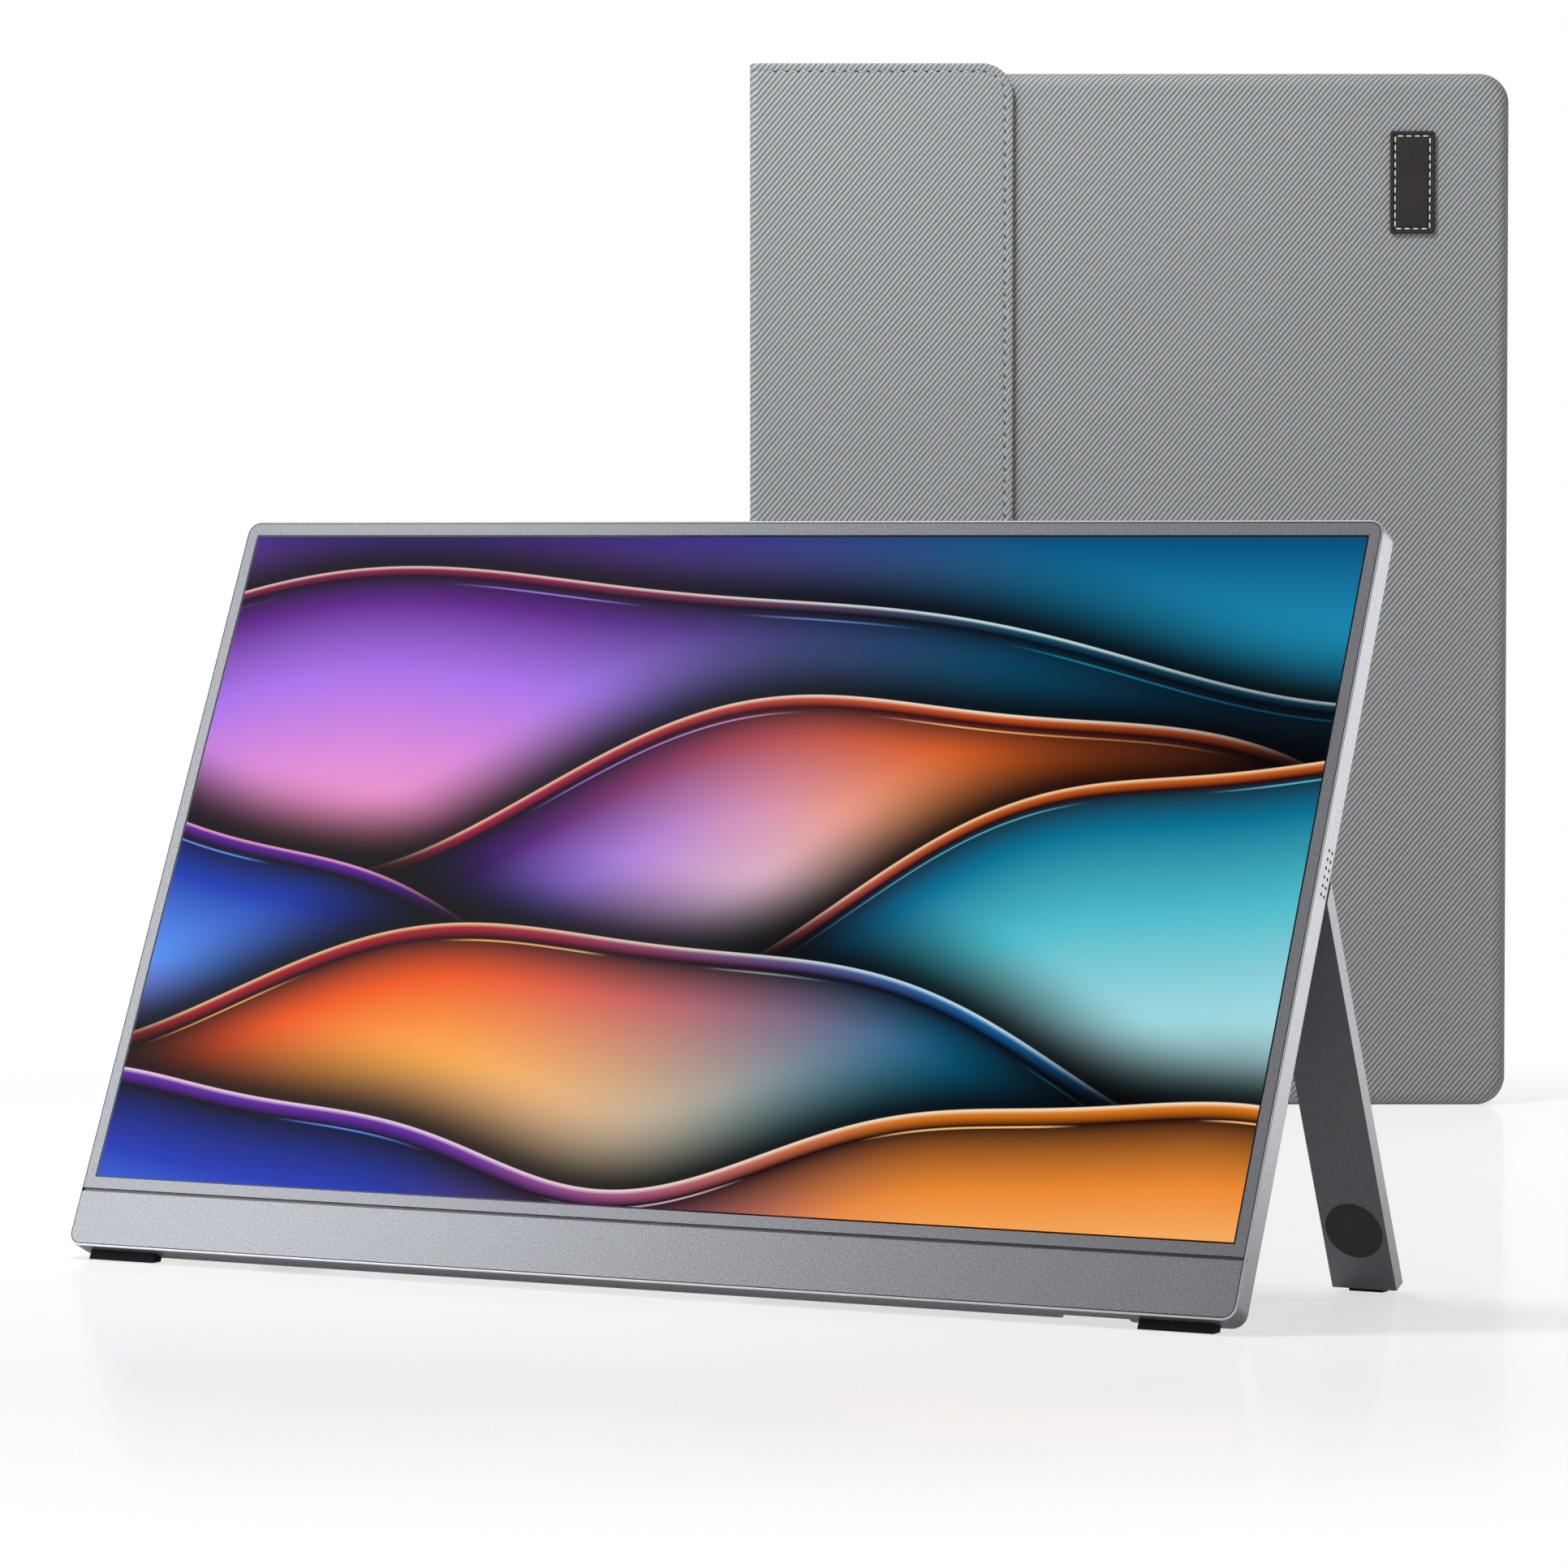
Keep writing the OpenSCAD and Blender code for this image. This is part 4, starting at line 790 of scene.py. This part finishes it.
def lit_picture():
    """The lit screen: wave sheets lie one before the other. Each reads its own depth below
    its crest, takes its colours from a ramp on that depth, has a second thin glint that comes
    and goes inside the crest, and shades the sheet behind."""
    tree, shader = new_material("lit_picture")
    across = put(tree, "Attribute", attribute_name="across", out=2)
    up = put(tree, "Attribute", attribute_name="up", out=2)
    side = span(tree, across, 0.45, 1.35)
    tone = mix(tree, side, ramp(tree, up, ((0.5, "#ffa884"), (0.8, "#c87ae0"), (1, "#4a28a0"))),
               ramp(tree, up, ((0.5, "#a8dbe4"), (0.8, "#1e9cc4"), (1, "#004c7c"))))
    for k, wave in enumerate(WAVES):
        depth = put(tree, "Attribute", attribute_name=f"wave_{k}", out=2)
        reach = sums(tree, "DIVIDE", depth, SHEET_REACH)
        sheet = mix(tree, side, ramp(tree, reach, wave[5]), ramp(tree, reach, wave[6]))
        off = sums(tree, "ABSOLUTE", sums(tree, "SUBTRACT", depth, GLINT_DEPTH))
        glint = span(tree, off, 0.0004, 0.0022, 0.85, 0.0)
        fade = noise(tree, put(tree, "UVMap", uv_map="cloth"), 2.3 + 0.37 * k, 0.0)
        glint = sums(tree, "MULTIPLY", glint, span(tree, fade, 0.44, 0.62))
        sheet = mix(tree, glint, sheet, mix(tree, side, linear(wave[5][4][1]),
                                            linear(wave[6][4][1])))
        shadow = span(tree, depth, -0.13, 0.0, 1.0, 0.02)
        behind = mix(tree, 1.0, tone, shadow, "MULTIPLY")
        tone = mix(tree, span(tree, depth, -0.0012, 0.0012), behind, sheet)
    wire(tree, shader, Base_Color=(0.002, 0.002, 0.003, 1), Roughness=0.14,
         Specular_IOR_Level=0.03, Emission_Color=tone, Emission_Strength=1.0)


STEEL = dict(rough=0.32, metallic=1.0, grain=1400.0, vary=0.12, stretch=(1, 1, 6))
PLAIN_FINISHES = {
    "tray_metal": dict(rgb=(0.66, 0.67, 0.69), rough=0.38, metallic=1.0, grain=700.0),
    "screen_glass": dict(rgb=(0.006, 0.007, 0.009), rough=0.12, grain=60.0, depth=0.000002,
                         Specular_IOR_Level=0.25),
    "optical_film": dict(rgb=(0.82, 0.84, 0.85), rough=0.6, grain=2600.0),
    "clear_plastic": dict(rgb=(0.78, 0.84, 0.85), rough=0.14, grain=300.0),
    "led_strip": dict(rgb=(0.86, 0.74, 0.32), rough=0.5, grain=1200.0),
    "black_plastic": dict(rgb=(0.018, 0.018, 0.020), rough=0.55, vary=0.25),
    "shield_tin": dict(rgb=(0.62, 0.63, 0.64), **STEEL),
    "ribbon": dict(rgb=(0.55, 0.50, 0.36), rough=0.45, stretch=(12, 1, 1)),
    "socket_steel": dict(rgb=(0.58, 0.59, 0.61), **STEEL),
    "hinge_steel": dict(rgb=(0.48, 0.49, 0.51), **STEEL),
    "screw_steel": dict(rgb=(0.30, 0.31, 0.33), **STEEL),
    "brass": dict(rgb=(0.62, 0.44, 0.14), rough=0.28, metallic=1.0, grain=1600.0,
                  stretch=(1, 1, 5)),
    "magnet_nickel": dict(rgb=(0.62, 0.62, 0.60), rough=0.16, metallic=1.0, grain=500.0,
                          vary=0.05),
    "black_rubber": dict(rgb=(0.007, 0.007, 0.008), rough=0.66, grain=1500.0, depth=0.00006,
                         vary=0.3, Specular_IOR_Level=0.15),
    "dark_rubber": dict(rgb=(0.030, 0.029, 0.034), rough=0.6, grain=2200.0, depth=0.00005,
                        vary=0.22),
    "foam": dict(rgb=(0.05, 0.05, 0.055), rough=0.9, grain=2600.0, depth=0.0002, vary=0.35),
    # dark discs for the needle holes: painted shade where the thread dips into the cloth
    "hole_shade": dict(rgb=(0.03, 0.03, 0.032), rough=0.95, grain=3000.0),
}


def make_finishes():
    """One material for each material slot of the record, and three for the stitches."""
    scene = bpy.context.scene
    monitor, sleeve, tones = scene.monitor_sizes, scene.sleeve_sizes, scene.monitor_colours
    case = case_frame()
    face = dict(outline=(monitor.case_w / 2, monitor.case_h, monitor.case_r),
                groove=(monitor.groove_z, monitor.groove_w / 2))
    blasted_metal("case_metal", tones.case, case, **face)
    blasted_metal("chin_metal", tones.chin, case, fleck=0.32, **face)
    blasted_metal("stand_metal", tones.stand, stand_frame(), rough=0.42, fleck=0.16)
    blasted_metal("button_metal", tones.case, case, rough=0.34, fleck=0.15)
    circuit_finish("circuit_board", (0.03, 0.16, 0.07))
    plain_finish("patch_rubber", tones.patch, 0.58, grain=1900.0, depth=0.00006, vary=0.16,
                 Specular_IOR_Level=0.22)
    twill("twill_fabric", tones.twill, sleeve.rib, sleeve.rib_angle)
    brushed_lining("lining_fabric", tones.lining)
    spun_thread("thread", tones.thread)
    spun_thread("patch_thread", tones.patch_thread)
    for name, look in PLAIN_FINISHES.items():
        plain_finish(name, **look)


# ---- operators ----

class MONITOR_OT_finishes(Operator):
    """Makes every finish and gives each node of the frame the one of its slot"""
    bl_idname = "monitor.finishes"
    bl_label = "Finishes"

    def execute(self, context):
        make_finishes()
        for part in frame["record"]["subparts"]:
            node = frame["nodes"][part["node"]]
            material = finish_of(part["material_slot"])
            if not node.material_slots:
                node.data.materials.append(material)
            for slot in node.material_slots:
                slot.material = material
        return {"FINISHED"}


class MONITOR_OT_picture(Operator):
    """Lays the lit picture on the screen's glass"""
    bl_idname = "monitor.picture"
    bl_label = "Lit picture"

    def execute(self, context):
        m = bpy.context.scene.monitor_sizes
        x = np.linspace(-m.picture_w / 2, m.picture_w / 2, 181)
        z = np.linspace(0, m.picture_h, 103)
        xx, zz = np.meshgrid(x, z, indexing="ij")
        across = (xx + m.picture_w / 2) / m.picture_h
        up = zz / m.picture_h
        fields = {"across": across, "up": up}
        # a crest is two sines and a tilt, and its field is the depth square to it
        for k, (level, swing, pace, phase, tilt, _, _) in enumerate(WAVES):
            crest = (level + swing * np.sin(pace * across + phase)
                     + 0.25 * swing * np.sin(2.3 * pace * across + 2.1 * phase)
                     + tilt * (across - 0.9))
            slope = np.gradient(crest, across[:, 0], axis=0)
            fields[f"wave_{k}"] = (crest - up) / np.sqrt(1 + slope ** 2)
        edge = np.minimum(np.minimum(xx + m.picture_w / 2, m.picture_w / 2 - xx),
                          np.minimum(zz, m.picture_h - zz))
        lift = np.where(edge > 0, LIT_LAYER, 0.0)
        front = np.stack([xx, m.glass_y + 0 * xx, zz + m.chin_h], axis=2)
        back = front + np.stack([0 * xx, lift, 0 * xx], axis=2)
        uv = np.stack([across, up], axis=2)
        twice = {k: np.concatenate([v.ravel(), v.ravel()]) for k, v in fields.items()}
        lit_picture()
        piece = make_piece("screen_picture", [(front, uv), (back, uv)], case_frame(),
                           "lit_picture", twice)
        piece.data.polygons.foreach_set("use_smooth",
                                        np.zeros(len(piece.data.polygons), bool))
        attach(piece, "monitor")
        return {"FINISHED"}


class MONITOR_OT_pocket(Operator):
    """Makes the padded pocket of the sleeve, its lining and the binding of its mouth"""
    bl_idname = "monitor.pocket"
    bl_label = "Sleeve pocket"

    def execute(self, context):
        s = bpy.context.scene.sleeve_sizes
        long = spread(0, 3, 0.012, 95, 0.955, 14, 0.98, 10, 1.0)
        body = make_piece("sleeve_body", [pocket(0.0, s.skin, long, bulge=0.0004)],
                          sleeve_frame(), "twill_fabric")
        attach(body, "sleeve")
        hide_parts("sleeve_cover", "foam_front", "foam_back")
        gap = 0.00004  # between the foam and the lining
        short = spread(0, 2, 0.012, 30, 0.955, 8, 0.985, 5, 1.0)
        lining = make_piece("pocket_lining", [pocket(s.skin + gap, s.wall, short)],
                            sleeve_frame(), "lining_fabric")
        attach(lining, "sleeve")
        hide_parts("sleeve_lining")
        self.binding(s)
        return {"FINISHED"}

    def binding(self, s):
        """A folded tape over the front edge of the mouth."""
        half = s.height / 2 - s.corner
        z_stops = mirrored(half, 0, 4, 0.001, 90, half)
        s_stops = spread(0, 2, 0.0002, 6, 0.0014, 2, 0.0016)
        start = (s.mouth - 0.0013, s.wall / 2)
        proud = 0.00015  # how far the tape stands off the wall on each side
        high = s.wall / 2 + proud
        patches = fabric_strip(s_stops, z_stops,
                               lambda t: straight_path(t, start, (1, 0), (0, -1)),
                               high, -high, edge=0.0008, corner=0.0004, bottom=s.corner)
        tape = make_piece("mouth_tape", patches, sleeve_frame(), "lining_fabric")
        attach(tape, "sleeve")
        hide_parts("mouth_binding")


class MONITOR_OT_flap(Operator):
    """Makes the spine of the sleeve and its flap, which bend at the two creases"""
    bl_idname = "monitor.flap"
    bl_label = "Sleeve flap"

    def execute(self, context):
        s = bpy.context.scene.sleeve_sizes
        rows = flap_rows()
        thick = bend = s.flap_t / 2
        middle = (s.crease_back + s.crease_front) / 2
        at = sleeve_frame()

        gap = 0.00005  # between the back panel and the spine
        start = (s.neck - gap, s.crease_back)
        total = start[0] - bend + bend * math.pi / 2 + s.crease_back - bend - middle
        stops = spread(0, 2, 0.0002, 3, 0.0006, 10, 0.0030, 8, total - 0.0003, 3, total)
        spine = make_piece("spine_cloth", fabric_strip(
            stops, rows, lambda t: bent_path(t, start, (0, s.crease_back), (0, middle), bend),
            thick, -thick, edge=0.0011, corner=0.0006, bottom=s.flap_low, free_end=False),
            at, "twill_fabric")
        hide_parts("flap_spine")
        self.bend_between(spine, "sleeve", "flap_spine", (0.0014, s.crease_back + 0.0003),
                          (0.0, s.crease_back - 0.0013))

        corner = (0, s.crease_front)
        line = middle - s.crease_front - bend
        total = line + bend * math.pi / 2 + s.flap_w - bend
        bent = line + bend * math.pi / 2
        stops = spread(0, 3, 0.0003, 5, line, 10, bent, 55, total - 0.0115, 10,
                       total - 0.0045, 13, total - 0.0012, 6, total)

        def path(t):
            return bent_path(t, (0, middle), corner, (s.flap_w, s.crease_front), bend)

        def under(t):
            """The inner face, which draws back past the bend to leave the lining its room."""
            return -thick + 0.001 * smooth((t - bent) / 0.0015)

        cloth = make_piece("flap_cloth", fabric_strip(
            stops, rows, path, thick, under, edge=0.0010, corner=s.flap_corner,
            bottom=s.flap_low, groove=FLAP_GROOVE), at, "twill_fabric")
        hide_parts("flap_cover")
        self.bend_between(cloth, "flap_spine", "flap", (0, 0.0003), (0.0018, -0.0015))
        self.lining(s, rows, at)
        return {"FINISHED"}

    def bend_between(self, piece, first, second, start, end):
        """Bakes the piece's placement into its mesh; the two bodies and the two points are not
        used.
        """
        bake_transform(piece)

    def lining(self, s, rows, at):
        """The brushed inside of the flap."""
        stops = spread(0, 3, 0.0004, 40, s.flap_w - 0.014, 10, s.flap_w - 0.0035, 8,
                       s.flap_w - 0.0018)
        start = (0.0018, s.crease_front)
        high, low = -0.00022, -0.0012  # its two faces, from the level of the crease
        piece = make_piece("flap_inside", fabric_strip(
            stops, rows, lambda t: straight_path(t, start, (1, 0), (0, -1)),
            high, low, edge=0.0006, corner=s.flap_corner, bottom=s.flap_low),
            at, "lining_fabric")
        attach(piece, "flap")
        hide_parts("flap_lining")


class MONITOR_OT_stitches(Operator):
    """Sews the flap's edge with single threads and dark discs between them: needle holes with
    painted shade in them
    """
    bl_idname = "monitor.stitches"
    bl_label = "Flap stitches"

    def execute(self, context):
        s = bpy.context.scene.sleeve_sizes
        half = (s.flap_high - s.flap_low) / 2
        r = s.flap_corner - s.seam_in
        x1, z1 = s.flap_w - s.seam_in, half - s.seam_in
        turn = np.linspace(0, math.pi / 2, 12)[:, None]
        arc_x, arc_z = x1 - r + r * np.cos(turn), z1 - r + r * np.sin(turn)
        upper = np.concatenate([arc_x, arc_z], 1)
        first = 0.0035  # from the folded edge to the first stitch
        line = np.concatenate([[[first, -z1]], upper[::-1] * [1, -1], upper, [[first, z1]]])
        y = s.crease_front - s.flap_t / 2 + FLAP_GROOVE
        line = np.stack([line[:, 0], np.full(len(line), y), line[:, 1] + half + s.flap_low], 1)
        for name, finish, offset, *measures in (
                ("flap_thread", "thread", 0.5, 0.0026, 0.00046, 0.00016),
                # needle holes as dark discs: the dark is painted shade where the thread dips into
                # the cloth
                ("flap_hole_shade", "hole_shade", 0.0, 0.0013, 0.00052, 0.00005)):
            piece = make_piece(name, stitches(*walk(line, s.pitch, offset), *measures),
                               sleeve_frame(), finish)
            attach(piece, "flap")
        return {"FINISHED"}


class MONITOR_OT_patch(Operator):
    """Makes the bare rubber patch with its sunk, stitched border"""
    bl_idname = "monitor.patch"
    bl_label = "Rubber patch"

    def execute(self, context):
        s = bpy.context.scene.sleeve_sizes
        t, radius, seam_in, pitch = s.patch_t, 0.0012, 0.00174, 0.0029
        # inset and height, from under the edge over the rim and the groove to the middle
        profile = ((0.0002, -0.0004), (0.0, -0.0003), (0.0, t - 0.00030), (0.00008, t - 0.00010),
                   (0.00024, t), (0.00104, t), (0.00116, t - 0.00008), (0.00124, t - 0.00045),
                   (0.00224, t - 0.00045), (0.00232, t - 0.00022), (0.00246, t - 0.00014),
                   (0.0028, t - 0.00012))
        half_x, half_z = s.patch_w / 2, s.patch_h / 2
        at = sleeve_frame() @ Matrix.Translation(
            (s.width - s.patch_x - half_x, 0, s.height - s.patch_z - half_z))
        plate = make_piece("rubber_patch", [raised_plate(half_x, half_z, radius, profile)],
                           at, "patch_rubber")
        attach(plate, "sleeve")
        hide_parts("patch")
        ring = rounded_loop(half_x, half_z, radius, per_corner=3, per_side=1)(seam_in)
        line = np.stack([ring[:, 0], np.full(len(ring), -(t - 0.00040)), ring[:, 1]], 1)
        thread = make_piece("patch_thread", stitches(
            *walk(line, pitch), length=0.0021, width=0.0005, height=0.00018), at, "patch_thread")
        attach(thread, "sleeve")
        return {"FINISHED"}


class MONITOR_OT_stage(Operator):
    """Sets the pale floor, the white surroundings, the soft lamps and the camera"""
    bl_idname = "monitor.stage"
    bl_label = "Stage"

    def execute(self, context):
        stage = context.scene.monitor_stage
        self.floor()
        self.world(stage.sky)
        # place, aim, width and height, watts, spread
        self.lamp("key", (0.04, 0.10, 0.80), (0.27, 0.45, 0.15), (0.14, 0.14), stage.key)
        self.lamp("card", (-0.57, -0.20, 0.49), (0.0, 0.0, 0.04), (0.28, 0.55), stage.card)
        self.lamp("rim", (0.62, 0.08, 0.12), (0.30, -0.15, 0.10), (0.25, 0.25), stage.rim, 80)
        self.lamp("back", (0.75, 2.1, 1.1), (0.2, 0.3, 0.1), (0.8, 0.8), stage.back)
        self.camera(stage)
        context.scene.view_settings.view_transform = "Standard"
        return {"FINISHED"}

    def floor(self):
        """A wide flat floor: white to the camera where light reaches it, with the object's
        soft shadow and a faint reflection."""
        tree, shader = new_material("pale_floor")
        tree.nodes.remove(shader)
        where = put(tree, "TexCoord", out="Object")
        tone = mix(tree, noise(tree, where, 260.0, 2.0), (0.90, 0.90, 0.90, 1),
                   (0.94, 0.94, 0.94, 1))
        matt = put(tree, "BsdfDiffuse", {"Color": tone})
        white = put(tree, "Emission", {"Color": (1, 1, 1, 1), "Strength": 1.0})
        seen = put(tree, "MixShader", {0: 0.30, 1: white, 2: matt})
        shown = sums(tree, "MULTIPLY_ADD", seen_in_gloss(tree), 0.3, seen_by_camera(tree))
        matt = put(tree, "MixShader", {0: shown, 1: matt, 2: seen})
        centred = put(tree, "Mapping", {"Vector": where, "Location": (-0.2, -0.12, 0)})
        far = put(tree, "VectorMath", {0: centred}, out=1, operation="LENGTH")
        gloss = put(tree, "BsdfAnisotropic", {"Color": (1, 1, 1, 1), "Roughness": 0.14})
        both = put(tree, "MixShader", {0: 0.10, 1: matt, 2: gloss})
        both = put(tree, "MixShader", {0: span(tree, far, 0.36, 0.62), 1: both, 2: white})
        tree.links.new(both, tree.nodes["Material Output"].inputs[0])
        x, y = np.meshgrid(np.linspace(-8, 8, 9), np.linspace(-4, 14, 9), indexing="ij")
        p = np.stack([x, y, 0 * x - 0.00002], axis=2)
        floor = make_piece("floor", [(p, p[..., :2])], Matrix.Identity(4), "pale_floor")
        if floor.data.polygons[0].normal.z < 0:
            floor.data.flip_normals()

    def world(self, strength):
        """White to the camera. Gloss and glass show that white round the horizon, where the
        backdrop stands. The light itself is a soft sky, a little brighter from the left and
        from above."""
        world = bpy.context.scene.world or bpy.data.worlds.new("surroundings")
        bpy.context.scene.world = world
        world.use_nodes = True
        tree = world.node_tree
        tree.nodes.clear()
        way = put(tree, "TexCoord", out="Generated")
        east, _, up = axes(tree, way)
        height = span(tree, up, -0.2, 0.9, 0.75, 1.1)
        side = span(tree, east, -0.8, 0.8, 1.2, 0.75)
        soft = sums(tree, "MULTIPLY", sums(tree, "MULTIPLY", height, side), strength)
        sky, backdrop, white = (
            put(tree, "Background", {"Color": (1, 1, 1, 1), "Strength": level})
            for level in (soft, span(tree, up, 0.12, 0.5, 1.0, strength), 1.0))
        both = put(tree, "MixShader", {0: seen_in_gloss(tree), 1: sky, 2: backdrop})
        both = put(tree, "MixShader", {0: seen_by_camera(tree), 1: both, 2: white})
        output = tree.nodes.new("ShaderNodeOutputWorld")
        tree.links.new(both, output.inputs[0])

    def lamp(self, name, place_at, aim, sides, power, spread_angle=180):
        """A soft lamp of a given width and height that faces a point. A narrow spread keeps
        its light off the floor beside it."""
        data = bpy.data.lights.new(name, "AREA")
        data.shape, data.energy = "RECTANGLE", power
        data.size, data.size_y = sides
        data.spread = math.radians(spread_angle)
        lamp = bpy.data.objects.new(name, data)
        lamp.location = place_at
        lamp.rotation_euler = (Vector(aim) - Vector(place_at)).to_track_quat("-Z", "Y").to_euler()
        lamp.visible_camera = False
        bpy.context.scene.collection.objects.link(lamp)

    def camera(self, stage):
        """The photograph's view: level, looking along +Y and a little down."""
        data = bpy.data.cameras.new("camera")
        data.lens, data.sensor_width = stage.lens, 36.0
        data.clip_start, data.clip_end = 0.05, 60.0
        camera = bpy.data.objects.new("camera", data)
        camera.location = stage.eye
        camera.rotation_euler = Euler((math.pi / 2 - stage.pitch, 0, 0))
        bpy.context.scene.collection.objects.link(camera)
        bpy.context.scene.camera = camera


class MONITOR_PT_panel(Panel):
    """Lists the sizes, the colours and the steps"""
    bl_idname = "MONITOR_PT_panel"
    bl_label = "Portable monitor"
    bl_space_type = "VIEW_3D"
    bl_region_type = "UI"
    bl_category = "Monitor"

    def draw(self, context):
        for step in STEPS:
            self.layout.operator(step.bl_idname)
        for title, group in GROUPS.items():
            box = self.layout.box()
            box.label(text=title.replace("_", " "))
            for key in group.__annotations__:
                box.prop(getattr(context.scene, title), key)


STEPS = (MONITOR_OT_finishes, MONITOR_OT_picture, MONITOR_OT_pocket, MONITOR_OT_flap,
         MONITOR_OT_stitches, MONITOR_OT_patch, MONITOR_OT_stage)
GROUPS = {"monitor_sizes": MonitorSizes, "sleeve_sizes": SleeveSizes,
          "monitor_colours": Colours, "monitor_stage": StageSettings}


def register():
    for group in GROUPS.values():
        bpy.utils.register_class(group)
    for key, group in GROUPS.items():
        setattr(bpy.types.Scene, key, PointerProperty(type=group))
    for item in STEPS + (MONITOR_PT_panel,):
        bpy.utils.register_class(item)


def unregister():
    for item in (MONITOR_PT_panel,) + STEPS[::-1]:
        bpy.utils.unregister_class(item)
    for key in GROUPS:
        delattr(bpy.types.Scene, key)
    for group in GROUPS.values():
        bpy.utils.unregister_class(group)


def main():
    """Makes every piece in order."""
    register()
    for step in STEPS:
        family, name = step.bl_idname.split(".")
        getattr(getattr(bpy.ops, family), name)()


if __name__ == "__main__":
    main()
